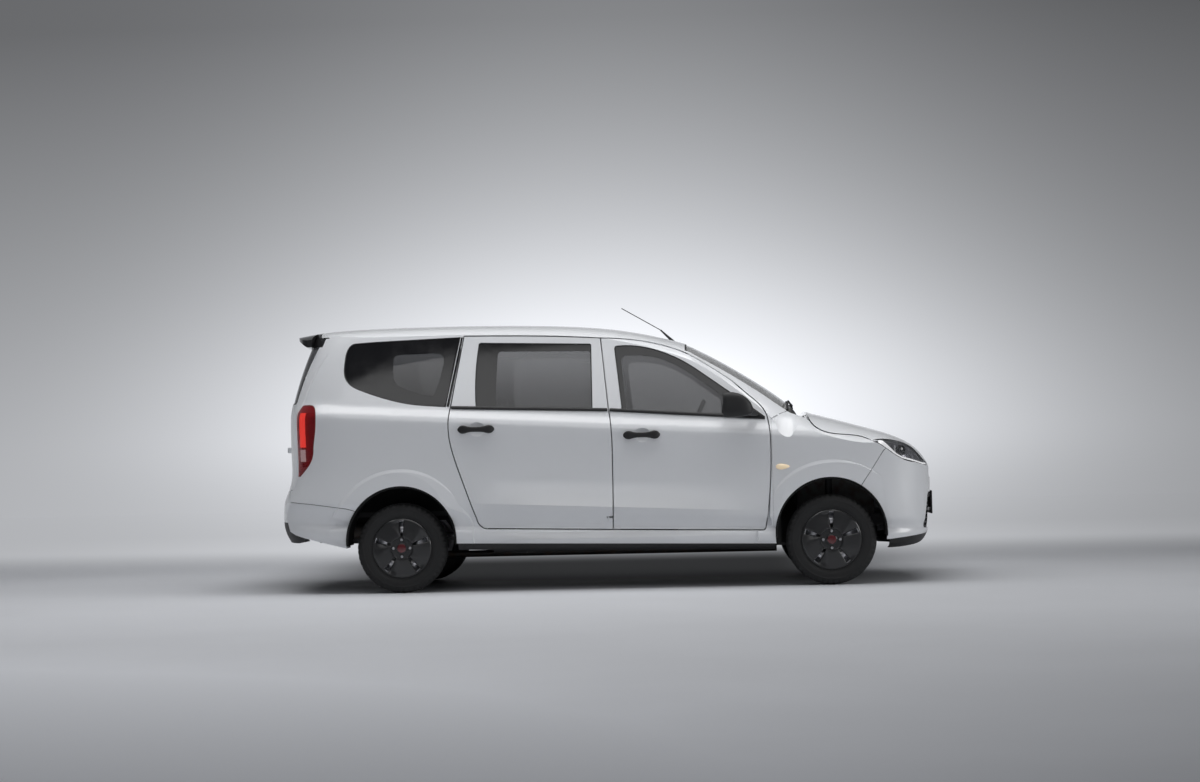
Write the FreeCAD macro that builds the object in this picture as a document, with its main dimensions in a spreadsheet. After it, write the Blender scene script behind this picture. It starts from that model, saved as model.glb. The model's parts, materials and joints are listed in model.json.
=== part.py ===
"""A white compact minivan: five doors, three rows of seats, steel wheels with plastic covers.

+X is the front, +Y the left side, +Z up, and the wheels stand on z = 0. The body panels are cut from one
outer skin and one inner skin, both made for the right half and mirrored. Outlines were measured in a side
view, so their points are written in that view's own frame and moved to the real stations by spot().
"""
import FreeCAD, Part
import math
import os

import Sketcher
from FreeCAD import Placement, Rotation, Vector

doc = FreeCAD.newDocument("Minivan")
sheet = doc.addObject("Spreadsheet::Sheet", "Sizes")

SIZES = {
    "wheelbase": 2840,
    "front_overhang": 755,
    "rear_overhang": 874,
    "body_width": 1700,
    "roof_height": 1800,
    "belt_height": 1100,
    "track": 1455,
    "tyre_radius": 298,
    "tyre_width": 175,
    "rim_radius": 178,
    "rim_thickness": 7,
    "cover_radius": 194,
    "hub_radius": 62,
    "wheel_fit": 0.3,
    "arch_radius": 368,
    "arch_rise": 44,
    "flare_radius": 480,
    "flare_proud": 11,
    "liner_gap": 16,
    "liner_wall": 7,
    "side_wall": 75,
    "rear_wall": 62,
    "nose_wall": 34,
    "roof_wall": 45,
    "bonnet_wall": 28,
    "door_thickness": 48,
    "post_depth": 67,
    "post_thickness": 28,
    "shut_gap": 7.5,
    "glass_depth": 7,
    "glass_thickness": 5,
    "glass_fit": 1.2,
    "hinge_inset": 18,
    "hinge_setback": 30,
    "hinge_pin": 5,
    "hinge_fit": 0.1,
    "hinge_height": 56,
    "floor_height": 252,
    "floor_thickness": 34,
    "rear_floor_height": 500,
    "sill_strip": 42,
    "kingpin_offset": 92,
    "kingpin_radius": 8,
    "kingpin_fit": 0.1,
    "strut_inset": 80,
    "strut_radius": 24,
    "spring_radius": 58,
    "rack_setback": 135,
    "rack_height": 318,
    "rack_radius": 14,
    "rack_fit": 0.1,
    "axle_tube": 36,
    "differential_radius": 112,
    "spring_leaf_width": 62,
    "spring_leaf_height": 22,
    "spring_length": 1180,
    "spring_spacing": 1020,
    "exhaust_radius": 24,
    "exhaust_height": 208,
    "silencer_radius": 82,
    "silencer_length": 430,
    "engine_length": 520,
    "engine_width": 560,
    "engine_height": 480,
    "steering_radius": 186,
    "steering_grip": 15,
    "column_radius": 14,
    "column_fit": 0.1,
    "plate_width": 440,
    "plate_height": 140,
    "plate_thickness": 7,
    "seat_width": 500,
    "bench_width": 1220,
    "antenna_radius": 3,
    "handle_length": 245,
    "handle_height": 46,
    "handle_proud": 30,
}
for row, (word, number) in enumerate(SIZES.items(), start=1):
    sheet.set(f"A{row}", word)
    sheet.set(f"B{row}", str(number))
    sheet.setAlias(f"B{row}", word)
doc.recompute()


def size(word):
    return float(sheet.get(word))


FRONT_AXLE = (size("rear_overhang") + size("wheelbase") - size("front_overhang")) / 2
REAR_AXLE = FRONT_AXLE - size("wheelbase")
NOSE = FRONT_AXLE + size("front_overhang")
TAIL = REAR_AXLE - size("rear_overhang")
HALF_WIDTH = size("body_width") / 2
WHEEL_Y = size("track") / 2
HUB_HEIGHT = size("tyre_radius")
ARCH_HEIGHT = HUB_HEIGHT + size("arch_rise")

# The same places as words for the expressions of the sheet
FRONT_X = "((Sizes.rear_overhang + Sizes.wheelbase - Sizes.front_overhang) / 2)"
REAR_X = "((Sizes.rear_overhang - Sizes.wheelbase - Sizes.front_overhang) / 2)"
WHEEL_PLANE = "(Sizes.track / 2)"
KINGPIN_Y = "(Sizes.track / 2 - Sizes.kingpin_offset)"

# The stations of the measured side view and where they stand on this van
VIEW_X = (-2209, -1335, 1505, 2260)
REAL_X = (TAIL, REAR_AXLE, FRONT_AXLE, NOSE)
VIEW_Z = (0, 298, 1100, 1800)
REAL_Z = (0, HUB_HEIGHT, size("belt_height"), size("roof_height"))
VIEW_HALF_WIDTH = 850


def moved(value, view, real):
    """A measured coordinate moved to the real stations, straight between each two of them."""
    last = len(view) - 2
    i = min(last, max(0, sum(value > station for station in view) - 1))
    share = (value - view[i]) / (view[i + 1] - view[i])
    return real[i] + share * (real[i + 1] - real[i])


def at_x(x):
    return moved(x, VIEW_X, REAL_X)


def at_y(y):
    return y * HALF_WIDTH / VIEW_HALF_WIDTH


def at_z(z):
    return moved(z, VIEW_Z, REAL_Z)


def spot(x, y, z):
    return Vector(at_x(x), at_y(y), at_z(z))


# Faces, curves and prisms

def knots(poles, degree=3):
    inner = poles - degree - 1
    return [float(k) for k in range(inner + 2)], [degree + 1] + [1] * inner + [degree + 1]


def patch(net):
    """A smooth surface through a net of control points."""
    u, u_mults = knots(len(net))
    v, v_mults = knots(len(net[0]))
    surface = Part.BSplineSurface()
    surface.buildFromPolesMultsKnots(net, u_mults, v_mults, u, v, False, False, 3, 3)
    return surface.toShape()


def edge_curve(poles):
    values, mults = knots(len(poles))
    curve = Part.BSplineCurve()
    curve.buildFromPolesMultsKnots(poles, mults, values, False, 3)
    return curve.toShape()


def flat(edges):
    return Part.Face(Part.Wire(Part.__sortEdges__(edges)))


def closed(faces):
    shell = Part.makeShell(faces)
    shell.sewShape()
    return Part.Solid(shell)


def ring(strokes, point):
    """A closed wire. A stroke of one point is a straight line to it, a longer one a smooth curve."""
    last = strokes[-1][-1]
    edges = []
    for stroke in strokes:
        points = [point(*p) for p in [last] + stroke]
        last = stroke[-1]
        if len(points) == 2:
            edges.append(Part.makeLine(*points))
        else:
            curve = Part.BSplineCurve()
            curve.interpolate(points)
            edges.append(curve.toShape())
    return Part.Wire(edges)


SHORT_EDGE = 1.0
POINT_SPACING = 40


def grown(face, distance):
    """The face with its outline moved outward, drawn afresh as lines and plain splines."""
    if not distance:
        return face
    runs = []
    for edge in face.makeOffset2D(distance, join=0).OuterWire.OrderedEdges:
        if edge.Length > SHORT_EDGE:
            count = 2 if isinstance(edge.Curve, Part.Line) else max(4, int(edge.Length / POINT_SPACING))
            runs.append(edge.discretize(count))
    first, second = runs[0], runs[1]
    if min(first[0].distanceToPoint(p) for p in (second[0], second[-1])) < SHORT_EDGE:
        first.reverse()
    for i in range(1, len(runs)):
        last = runs[i - 1][-1]
        if runs[i][-1].distanceToPoint(last) < runs[i][0].distanceToPoint(last):
            runs[i].reverse()
        runs[i][0] = last
    runs[-1][-1] = first[0]
    edges = []
    for points in runs:
        if len(points) == 2:
            edges.append(Part.makeLine(*points))
        else:
            curve = Part.BSplineCurve()
            curve.interpolate(points)
            edges.append(curve.toShape())
    return Part.Face(Part.Wire(edges))


def side_prism(strokes, near=-1100, far=-300, grow=0.0):
    """The right-hand space behind an outline in side view, between two depths from the centre plane."""
    face = grown(Part.Face(ring(strokes, lambda x, z: spot(x, 0, z))), grow)
    face.translate(Vector(0, near, 0))
    return face.extrude(Vector(0, far - near, 0))


def end_prism(strokes, start, stop, grow=0.0):
    """The space behind an outline in front view, from one length station to another."""
    face = grown(Part.Face(ring(strokes, lambda y, z: spot(0, y, z))), grow)
    face.translate(Vector(at_x(start) - face.BoundBox.XMin, 0, 0))
    return face.extrude(Vector(at_x(stop) - at_x(start), 0, 0))


def plan_prism(points, low=0, high=2200):
    corners = [spot(x, y, low) for x, y in points]
    face = Part.Face(Part.makePolygon(corners + corners[:1]))
    return face.extrude(Vector(0, 0, at_z(high) - at_z(low)))


def block(x0, x1, y0, y1, z0, z1):
    low = Vector(min(x0, x1), min(y0, y1), min(z0, z1))
    return Part.makeBox(abs(x1 - x0), abs(y1 - y0), abs(z1 - z0), low)


def rod(radius, start, stop):
    return Part.makeCylinder(radius, (stop - start).Length, start, stop - start)


def mirrored(shape):
    return shape.mirror(Vector(), Vector(0, 1, 0))


def whole(shape):
    """A right-hand half joined with its mirror image."""
    return shape.fuse(mirrored(shape)).removeSplitter()


# The skin of the right half: a tube of side sections and a roof, screen and bonnet above it

# Share of the half width, and distance from the end, of each upright line at the nose and the tail
NOSE_LINES = [(0, 0.0), (0, 0.18), (3, 0.38), (25, 0.565), (75, 0.73), (170, 0.865), (330, 0.957), (560, 0.997)]
FLANK_LINES = [1210, 900, 300, -400, -1000]
TAIL_LINES = [(560, 0.997), (330, 0.972), (175, 0.905), (88, 0.80), (35, 0.635), (8, 0.40), (0, 0.18), (0, 0.0)]

# Levels of the skin: height near the tail and near the nose, half width, nose and tail stations
LEVELS = [
    (225, 225, 640, 2040, -2040),
    (262, 240, 800, 2110, -2120),
    (344, 262, 822, 2150, -2165),
    (389, 307, 832, 2175, -2190),
    (439, 337, 826, 2188, -2205),
    (457, 355, 808, 2192, -2208),
    (500, 385, 815, 2196, -2211),
    (583, 415, 845, 2199, -2203),
    (618, 450, 851, 2200, -2198),
    (700, 560, 846, 2206, -2162),
    (780, 650, 841, 2209, -2143),
    (900, 760, 838, 2210, -2148),
    (1080, 860, 842, 2210, -2151),
    (1176, 934, 849, 2210, -2148),
    (1210, 968, 840, 2210, -2145),
    (1250, 1010, 808, 2210, -2140),
    (1287, 1055, 785, 2210, -2134),
    (1340, 1110, 772, 2210, -2121),
    (1480, 1300, 728, 2210, -2082),
    (1620, 1500, 680, 2210, -2032),
    (1730, 1660, 640, 2210, -1985),
    (1900, 1900, 570, 2210, -1890),
]
LEVEL_SPAN = 2000

# The top: distance out from the centre line, and how far each kind of section has dropped there
TOP_LINES = [0, 150, 350, 500, 600, 680, 760, 838, 950]
ROOF_DROP = [0, 2, 14, 34, 62, 112, 190, 300, 460]
SCREEN_DROP = [0, 3, 20, 44, 70, 110, 175, 270, 420]
BONNET_DROP = [0, 1, 8, 20, 36, 58, 88, 130, 230]
NOSE_DROP = [0, 1, 4, 10, 18, 30, 48, 75, 150]
NOSE_SETBACK = [0, 0, 8, 28, 55, 95, 160, 250, 400]
TOP_SECTIONS = [
    (-2400, 1690, ROOF_DROP, 0),
    (-2150, 1735, ROOF_DROP, 0),
    (-1985, 1766, ROOF_DROP, 0),
    (-1830, 1786, ROOF_DROP, 0),
    (-1500, 1797, ROOF_DROP, 0),
    (-1100, 1800, ROOF_DROP, 0),
    (-700, 1797, ROOF_DROP, 0),
    (-300, 1784, ROOF_DROP, 0),
    (0, 1764, ROOF_DROP, 0),
    (250, 1724, ROOF_DROP, 0),
    (430, 1680, ROOF_DROP, 0),
    (540, 1650, ROOF_DROP, 0),
    (610, 1628, ROOF_DROP, 0),
    (640, 1610, SCREEN_DROP, 0),
    (760, 1550, SCREEN_DROP, 0),
    (950, 1437, SCREEN_DROP, 0),
    (1130, 1320, SCREEN_DROP, 0),
    (1250, 1230, SCREEN_DROP, 0),
    (1290, 1185, BONNET_DROP, 0),
    (1370, 1152, BONNET_DROP, 0),
    (1550, 1105, BONNET_DROP, 0),
    (1750, 1048, BONNET_DROP, 0),
    (1900, 1003, NOSE_DROP, 0.1),
    (2010, 960, NOSE_DROP, 0.35),
    (2090, 915, NOSE_DROP, 0.6),
    (2150, 860, NOSE_DROP, 0.85),
    (2190, 800, NOSE_DROP, 1),
    (2222, 730, NOSE_DROP, 1),
    (2240, 600, NOSE_DROP, 1),
    (2300, 300, NOSE_DROP, 0.5),
    (2700, 250, [0] * 9, 0),
]
SCREEN_FOOT = 1290


def side_tube(side, front, rear):
    """Everything inside the sides, nose and tail, with each of them moved inward by its own wall."""
    net = []
    for z_tail, z_nose, half_width, nose, tail in LEVELS:
        stations = [(nose - back, share, front, front) for back, share in NOSE_LINES]
        stations += [(x, 1.0, 0, side) for x in FLANK_LINES]
        stations += [(tail + ahead, share, -rear, side) for ahead, share in TAIL_LINES]
        line = []
        for x, share, along, across in stations:
            z = z_tail + (z_nose - z_tail) * (x + LEVEL_SPAN) / (2 * LEVEL_SPAN)
            place = spot(x, -half_width * share, z)
            line.append(place + Vector(-along, across * share, 0))
        net.append(line)
    start, stop = [line[0] for line in net], [line[-1] for line in net]
    low, high = Part.makeLine(start[0], stop[0]), Part.makeLine(start[-1], stop[-1])
    faces = [patch(net), flat([edge_curve(net[0]), low]), flat([edge_curve(net[-1]), high])]
    faces.append(flat([edge_curve(start), edge_curve(stop), low, high]))
    return closed(faces)


def top_mould(roof, bonnet):
    """Everything below the roof, screen and bonnet, with each of them lowered by its own wall."""
    net = []
    for x, height, drop, setback in TOP_SECTIONS:
        wall = roof if x < SCREEN_FOOT else bonnet
        lead = wall * setback
        line = []
        for y, fall, back in zip(TOP_LINES, drop, NOSE_SETBACK):
            line.append(spot(x - setback * back, -y, height - fall) - Vector(lead, 0, wall))
        net.append(line)
    corners = [net[0][0], net[-1][0], net[-1][-1], net[0][-1]]
    feet = [Vector(p.x, p.y, 0) for p in corners]
    posts = [Part.makeLine(corner, foot) for corner, foot in zip(corners, feet)]
    base = [Part.makeLine(feet[i], feet[(i + 1) % 4]) for i in range(4)]
    rims = [[line[0] for line in net], net[-1], [line[-1] for line in net], net[0]]
    faces = [patch(net), flat(base)]
    for i, rim in enumerate(rims):
        faces.append(flat([edge_curve(rim), posts[i], posts[(i + 1) % 4], base[i]]))
    return closed(faces)


def skin(side, front, rear, roof, bonnet):
    return side_tube(side, front, rear).common(top_mould(roof, bonnet))


def even_skin(depth):
    return skin(depth, depth, depth, depth, depth)


outer = even_skin(0)
cavity = skin(size("side_wall"), size("nose_wall"), size("rear_wall"), size("roof_wall"), size("bonnet_wall"))
door_back = even_skin(size("door_thickness"))
post_front = even_skin(size("post_depth"))
post_back = even_skin(size("post_depth") + size("post_thickness"))
glass_front = even_skin(size("glass_depth"))
glass_back = even_skin(size("glass_depth") + size("glass_thickness"))
door_layer = outer.cut(door_back)

# Wheel arches

def arch(x, radius, near=-1100, far=-430, rise=0):
    centre = Vector(x, near, ARCH_HEIGHT + rise)
    return Part.makeCylinder(radius, far - near, centre, Vector(0, 1, 0))


def flare(x):
    """The raised lip round an arch, fading into the side."""
    lip = HALF_WIDTH + size("flare_proud")
    inner, outer_radius = size("arch_radius"), size("flare_radius")
    profile = [
        (inner, HALF_WIDTH - size("nose_wall")),
        (inner, lip - 4),
        (inner + 4, lip),
        (outer_radius - 20, HALF_WIDTH - 2),
        (outer_radius, HALF_WIDTH - 12),
        (outer_radius + 12, HALF_WIDTH - size("nose_wall")),
    ]
    points = [Vector(x + r, -y, ARCH_HEIGHT) for r, y in profile]
    face = Part.Face(Part.makePolygon(points + points[:1]))
    turned = face.revolve(Vector(x, 0, ARCH_HEIGHT), Vector(0, 1, 0), 360)
    return turned.common(block(x - 900, x + 900, -1100, 0, at_z(300), 1100)).common(proud_skin)


proud_skin = even_skin(-size("flare_proud"))
shell = outer.cut(cavity)
shell = shell.fuse([flare(FRONT_AXLE), flare(REAR_AXLE)])
for axle in (FRONT_AXLE, REAR_AXLE):
    shell = shell.cut(arch(axle, size("arch_radius")))

# Outlines in side view

FRONT_DOOR = [
    [(1054, 370)],
    [(1068, 375), (1077, 392)],
    [(1098, 538), (1119, 845), (1114, 1036), (1104, 1104)],
    [(1053, 1199), (977, 1267), (891, 1346), (782, 1426), (674, 1495), (565, 1558), (455, 1600), (323, 1635),
     (179, 1657), (6, 1668)],
    [(55, 1179)],
    [(73, 1030), (75, 795), (75, 648), (69, 394)],
]
REAR_DOOR = [
    [(-804, 431), (-832, 483)],
    [(-867, 580), (-909, 699), (-965, 862), (-1002, 1011), (-1008, 1115), (-996, 1222)],
    [(-909, 1702)],
    [(-712, 1699), (-412, 1691), (6, 1668)],
    [(55, 1179)],
    [(73, 1030), (75, 795), (75, 648), (69, 394)],
    [(-760, 416)],
]
FRONT_WINDOW = [
    [(1082, 1118)],
    [(950, 1222), (829, 1310), (712, 1395), (566, 1495), (420, 1565), (273, 1606), (124, 1614)],
    [(103, 1608), (97, 1590)],
    [(140, 1200)],
    [(143, 1184), (156, 1177)],
]
REAR_WINDOW = [
    [(-51, 1195)],
    [(-56, 1614)],
    [(-60, 1628), (-76, 1632)],
    [(-789, 1655)],
    [(-806, 1650), (-812, 1634)],
    [(-830, 1450), (-828, 1222)],
]
QUARTER_WINDOW = [
    [(-1128, 1234), (-1252, 1247), (-1437, 1291), (-1597, 1348), (-1683, 1399), (-1713, 1456), (-1715, 1530),
     (-1701, 1617), (-1678, 1656), (-1641, 1671)],
    [(-1491, 1679), (-1304, 1685), (-1056, 1693), (-932, 1697)],
    [(-1026, 1226)],
]
HEADLAMP = [
    [(1846, 909), (1919, 857), (1982, 818), (2074, 793)],
    [(2130, 776), (2230, 762)],
    [(2230, 782)],
    [(2143, 806), (2094, 862), (2031, 910), (1939, 940), (1838, 951), (1782, 943)],
]
TAIL_LAMP = [
    [(-1912, 1247), (-1899, 1180), (-1904, 1076), (-1917, 987), (-1930, 899), (-1968, 840), (-2021, 785)],
    [(-2300, 775)],
    [(-2300, 1244)],
    [(-2052, 1246)],
    [(-1985, 1262), (-1960, 1262)],
]
CABIN_SIDE = [
    [(1144, 372)], [(1126, 392)], [(1126, 1104)], [(1190, 1136)], [(1290, 1176)], [(1300, 1300)],
    [(1300, 2000)], [(-2500, 2000)], [(-2500, 698)], [(-2112, 698)], [(-2096, 618)], [(-1928, 601)],
    [(-1694, 568)], [(-1600, 540)], [(-1600, 200)], [(-1050, 200)], [(-1050, 329)], [(-965, 323)], [(1144, 280)],
]
FENDER = [
    [(1200, 376)], [(1145, 376)], [(1127, 396)], [(1127, 1100)], [(1190, 1131)], [(1290, 1171)], [(1350, 1175)],
    [(1350, 1120)],
    [(1371, 1116)], [(1397, 1056), (1438, 1022), (1600, 984), (1782, 938)],
    [(1890, 900)], [(1858, 877)], [(1770, 745)], [(1690, 630)], [(1690, 200)], [(1200, 200)],
]
BONNET = [
    [(1370, 1124)], [(1379, 1122)],
    [(1404, 1061), (1443, 1028), (1600, 990), (1782, 945)],
    [(1838, 953), (1939, 942), (2031, 912), (2094, 864), (2143, 808), (2240, 784)],
    [(2400, 784)], [(2400, 1300)], [(1370, 1300)],
]
FRONT_BUMPER = [
    [(1862, 875)], [(1774, 745)], [(1694, 629)], [(1694, 291)], [(1889, 291)], [(2192, 322)], [(2400, 330)],
    [(2400, 777)],
    [(2226, 777), (2143, 799), (2094, 855), (2031, 903), (1939, 933)],
]
FRONT_LIP = [
    [(1889, 228)], [(1961, 214)], [(2105, 248)], [(2182, 284)], [(2400, 294)], [(2400, 330)], [(2192, 322)],
    [(1889, 291)],
]
REAR_BUMPER = [
    [(-2500, 693)], [(-2116, 693)], [(-2096, 614)], [(-1928, 597)], [(-1694, 564)], [(-1605, 537)],
    [(-1605, 302)], [(-1718, 306)], [(-1993, 375)], [(-2060, 395)], [(-2105, 418)], [(-2125, 478)],
    [(-2500, 485)],
]
REAR_VALANCE = [
    [(-2500, 485)], [(-2125, 478)], [(-2105, 418)], [(-2060, 395)], [(-1993, 375)], [(-1975, 352)],
    [(-2040, 340)], [(-2500, 345)],
]
TAILGATE_EDGE = [
    [(-682, 790)], [(-684, 1000), (-682, 1250)], [(-652, 1400), (-612, 1640), (-590, 1850)],
    [(30, 1850)], [(30, 697)], [(-640, 697)],
]
TAILGATE_WINDOW = [
    [(-590, 1272)], [(-606, 1276), (-610, 1292)], [(-585, 1450), (-552, 1640)], [(-545, 1658), (-528, 1664)],
    [(30, 1672)], [(30, 1272)],
]
ROOF_EDGE = [(-2020, 585), (380, 590), (570, 604)]
SCREEN_EDGE = [(570, 604), (1229, 640), (1300, 660)]
ROOF_FRONT = 566
SEAM = 1.5

# The tailgate turns about this line, and its top edge is part of a cylinder about it
GATE_AXIS_X, GATE_AXIS_Z = -1960, 1725
GATE_EDGE_RADIUS = 60
GATE_SHOULDER_X, GATE_SHOULDER_Z = -1830, 1712
GATE_HINGE_Y = 300


def gate_cylinder(radius):
    centre = Vector(at_x(GATE_AXIS_X), -1100, at_z(GATE_AXIS_Z))
    return Part.makeCylinder(radius, 2200, centre, Vector(0, 1, 0))


def gate_space(margin):
    """What belongs to the tailgate, or with a margin the hole that it shuts."""
    behind = end_prism(TAILGATE_EDGE, -2500, GATE_AXIS_X, margin)
    under = end_prism(TAILGATE_EDGE, -2500, GATE_SHOULDER_X, margin)
    under = under.common(block(at_x(-2600), 0, -at_y(900), at_y(100), 0, at_z(GATE_SHOULDER_Z) + margin))
    edge = gate_cylinder(GATE_EDGE_RADIUS + margin)
    cap = block(at_x(GATE_AXIS_X), at_x(GATE_AXIS_X) + 100, -at_y(640), 1, at_z(1640), at_z(1900))
    top_edge = edge.common(cap).common(end_prism(TAILGATE_EDGE, GATE_AXIS_X, GATE_AXIS_X + 200, margin))
    return behind.fuse([under, top_edge])


gap = size("shut_gap")
door_hole = side_prism(FRONT_DOOR, grow=gap / 2).fuse(side_prism(REAR_DOOR, grow=gap / 2))
roof_plan = plan_prism([(-2300, 0), (-2300, -585)] + [(x, -y) for x, y in ROOF_EDGE] + [(570, 0)], 1200)
screen_plan = plan_prism([(ROOF_FRONT, 0)] + [(x, -y) for x, y in SCREEN_EDGE] + [(1300, 0)], 900)
centre_plan = roof_plan.fuse(screen_plan)
gate_hole = gate_space(gap)
pin_radius, pin_fit = size("hinge_pin"), size("hinge_fit")


def gate_hinge():
    """The roof's pin on a strap that dips and goes forward, and the space that the gate leaves for them."""
    x, y, z = at_x(GATE_AXIS_X), -at_y(GATE_HINGE_Y), at_z(GATE_AXIS_Z)
    half_strap, half_pin, dip, reach = 5, 21, 80, 116
    strap = block(x - pin_radius, x + pin_radius, y - half_strap, y + half_strap, z - dip, z)
    strap = strap.fuse(block(x - pin_radius, x + reach, y - half_strap, y + half_strap, z - dip, z - dip + 10))
    strap = strap.fuse(block(x + reach - 10, x + reach, y - half_strap, y + half_strap, z - dip, z + 14))
    metal = strap.fuse(rod(pin_radius, Vector(x, y - half_pin, z), Vector(x, y + half_pin, z)))
    bore = rod(pin_radius + pin_fit, Vector(x, y - half_pin - 1, z), Vector(x, y + half_pin + 1, z))
    room = half_strap + 6
    notch = block(x - pin_radius - 6, x + 64, y - room, y + room, z - dip - 10, z + pin_radius + 1)
    return metal, bore.fuse(notch)


# Hinges with an upright pin: a strap on the body side and a notch in the door

def door_hinge(x, z):
    """The body's strap with its pin, and the space the door leaves for them."""
    y = -(HALF_WIDTH - size("hinge_inset"))
    height = size("hinge_height")
    low = Vector(x, y, z - height / 2)
    strap = block(x - pin_radius, x + pin_radius, y, y + size("post_depth") + 4, z - 5, z + 5)
    metal = strap.fuse(rod(pin_radius, low, low + Vector(0, 0, height)))
    bore = rod(pin_radius + pin_fit, low - Vector(0, 0, 1), low + Vector(0, 0, height + 1))
    slot = block(x - pin_radius - 6, x + 90, y - pin_radius + 1, y + 120, z - 10, z + 10)
    return metal, bore.fuse(slot)


FRONT_HINGE_X = at_x(1119) - size("hinge_setback")
REAR_HINGE_X = at_x(75) - gap / 2 - size("hinge_setback")
HINGE_LEVELS = [480, 900]


def post(near_x, far_x):
    """An upright post of the body, behind the doors' edges."""
    band = side_prism([[(near_x, 312)], [(near_x, 1140)], [(far_x, 1140)], [(far_x, 312)]], far=-560)
    return post_front.common(band).cut(post_back)


def upper_post():
    """The upper half of the post between the doors, which leans with the windows."""
    band = side_prism([[(12, 1130)], [(-34, 1690)], [(40, 1690)], [(98, 1130)]], far=-500)
    return post_front.common(band).cut(post_back)


side = shell.common(side_prism(CABIN_SIDE, far=-430)).cut(door_hole)
front_post = post(1072, 1172)
side = side.fuse([front_post, post(12, 98), upper_post()]).cut(centre_plan).cut(gate_hole)

# Where the skin lies further out than the hinge line, its edge makes room for the opening door
SWING_RADIUS = 26
swing_foot = Vector(FRONT_HINGE_X, -(HALF_WIDTH - size("hinge_inset")), at_z(400))
side = side.cut(rod(SWING_RADIUS, swing_foot, swing_foot + Vector(0, 0, 187)))
front_notches, rear_notches = [], []
for level in HINGE_LEVELS:
    metal, notch = door_hinge(FRONT_HINGE_X, at_z(level))
    side = side.fuse(metal)
    front_notches.append(notch)
    metal, notch = door_hinge(REAR_HINGE_X, at_z(level))
    side = side.fuse(metal)
    rear_notches.append(notch)
tail_lamp_space = side_prism(TAIL_LAMP, far=-500).cut(gate_space(gap))
side = side.cut(side_prism(QUARTER_WINDOW)).cut(side_prism(TAIL_LAMP, far=-500, grow=1))
side = side.common(block(TAIL - 50, NOSE, -1100, 0, at_z(270), at_z(1900)))


def glazing(strokes, far=-300):
    """A pane that fits a window of the side with a thin gap all round."""
    return glass_front.common(side_prism(strokes, far=far, grow=-size("glass_fit"))).cut(glass_back)


def door(strokes, window, notches):
    panel = door_layer.common(side_prism(strokes, grow=-gap / 2))
    return panel.cut([side_prism(window)] + notches)


# Each handle spans a round dish in the door's skin
FRONT_HANDLE, REAR_HANDLE = (271, 1013), (-823, 1074)
DISH_RADIUS, DISH_DEPTH = 52, 13


def dish(x, z):
    ball = (DISH_RADIUS ** 2 + DISH_DEPTH ** 2) / (2 * DISH_DEPTH)
    return Part.makeSphere(ball, Vector(at_x(x) + 6, -(HALF_WIDTH - 5 + ball - DISH_DEPTH), at_z(z)))


# The doors' upper edges stay clear of the roof panel and the screen
ROOF_CLEARANCE = 6
door_limit = centre_plan.copy()
door_limit.translate(Vector(0, -ROOF_CLEARANCE, 0))
front_door = door(FRONT_DOOR, FRONT_WINDOW, front_notches).cut([dish(*FRONT_HANDLE), door_limit])
rear_door = door(REAR_DOOR, REAR_WINDOW, rear_notches).cut([dish(*REAR_HANDLE), door_limit])
fender = shell.common(side_prism(FENDER, far=-430)).cut([centre_plan, front_post])
fender = fender.cut(plan_prism([(1290, 0), (1290, -662), (1352, -672), (1352, 0)], 900))
headlamp_space = side_prism(HEADLAMP, far=-470)
headlamp = shell.common(side_prism(HEADLAMP, far=-474, grow=-1))
fender = fender.cut(headlamp_space)
tail_lamp = shell.common(tail_lamp_space)
sill_strip = shell.common(side_prism([[(-957, 279)], [(-957, 321)], [(1136, 278)], [(1136, 238)]]))

bonnet_wall = size("bonnet_wall")
bonnet_half = outer.common(side_prism(BONNET, far=0))
bonnet_half = bonnet_half.cut(skin(bonnet_wall, size("nose_wall"), bonnet_wall, bonnet_wall, bonnet_wall))

# The bonnet turns on two pins of the cowl, in ears under its rear corners
BONNET_AXIS_X, BONNET_AXIS_Z = 1385, 1087
BONNET_HINGE_Y = 560
EAR, STRAP = 14, 16
hinge_x, hinge_y, hinge_z = at_x(BONNET_AXIS_X), -at_y(BONNET_HINGE_Y), at_z(BONNET_AXIS_Z)
ear_in, ear_out = STRAP / 2 + 2, STRAP / 2 + 2 + EAR
ears = block(hinge_x - 10, hinge_x + 26, hinge_y - ear_out, hinge_y + ear_out, hinge_z - 10, hinge_z + 40)
ears = ears.cut(block(hinge_x - 20, hinge_x + 40, hinge_y - ear_in, hinge_y + ear_in, 0, 2000))
ear_limit = side_prism(BONNET[:1] + [[(1370, 1000)], [(1500, 1000)], [(1500, 1300)]], far=0)
ears = ears.common(ear_limit).common(outer)
ear_room = ear_out + 6
ear_space = block(hinge_x - 16, hinge_x + 32, hinge_y - ear_room, hinge_y + ear_room, 0, hinge_z + 100)

# The fender's rear corner makes room for the bonnet's rear edge, which goes down as the nose goes up
SWEEP_START, SWEEP_STOP = 430, 700
SWEEP_WIDE, SWEEP_NARROW = 70, 16
sweep_foot = Vector(hinge_x, -at_y(SWEEP_START), hinge_z)
sweep = Part.makeCone(SWEEP_WIDE, SWEEP_NARROW, SWEEP_STOP - SWEEP_START, sweep_foot, Vector(0, -1, 0))
fender = fender.cut([ear_space, sweep])
pin_low, pin_high = Vector(hinge_x, hinge_y - ear_out, hinge_z), Vector(hinge_x, hinge_y + ear_out, hinge_z)
pin_bore = rod(pin_radius + pin_fit, pin_low - Vector(0, 1, 0), pin_high + Vector(0, 1, 0))
bonnet_half = bonnet_half.fuse(ears).cut(pin_bore)
strap_space = block(hinge_x - 30, hinge_x + 12, hinge_y - ear_in, hinge_y + ear_in, 0, hinge_z + 8)
bonnet_half = bonnet_half.cut(strap_space)
bumper_half = shell.common(side_prism(FRONT_BUMPER, far=0)).cut(headlamp_space)
lip_half = shell.common(side_prism(FRONT_LIP, far=0))
rear_bumper_half = shell.common(side_prism(REAR_BUMPER, far=0))
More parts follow.
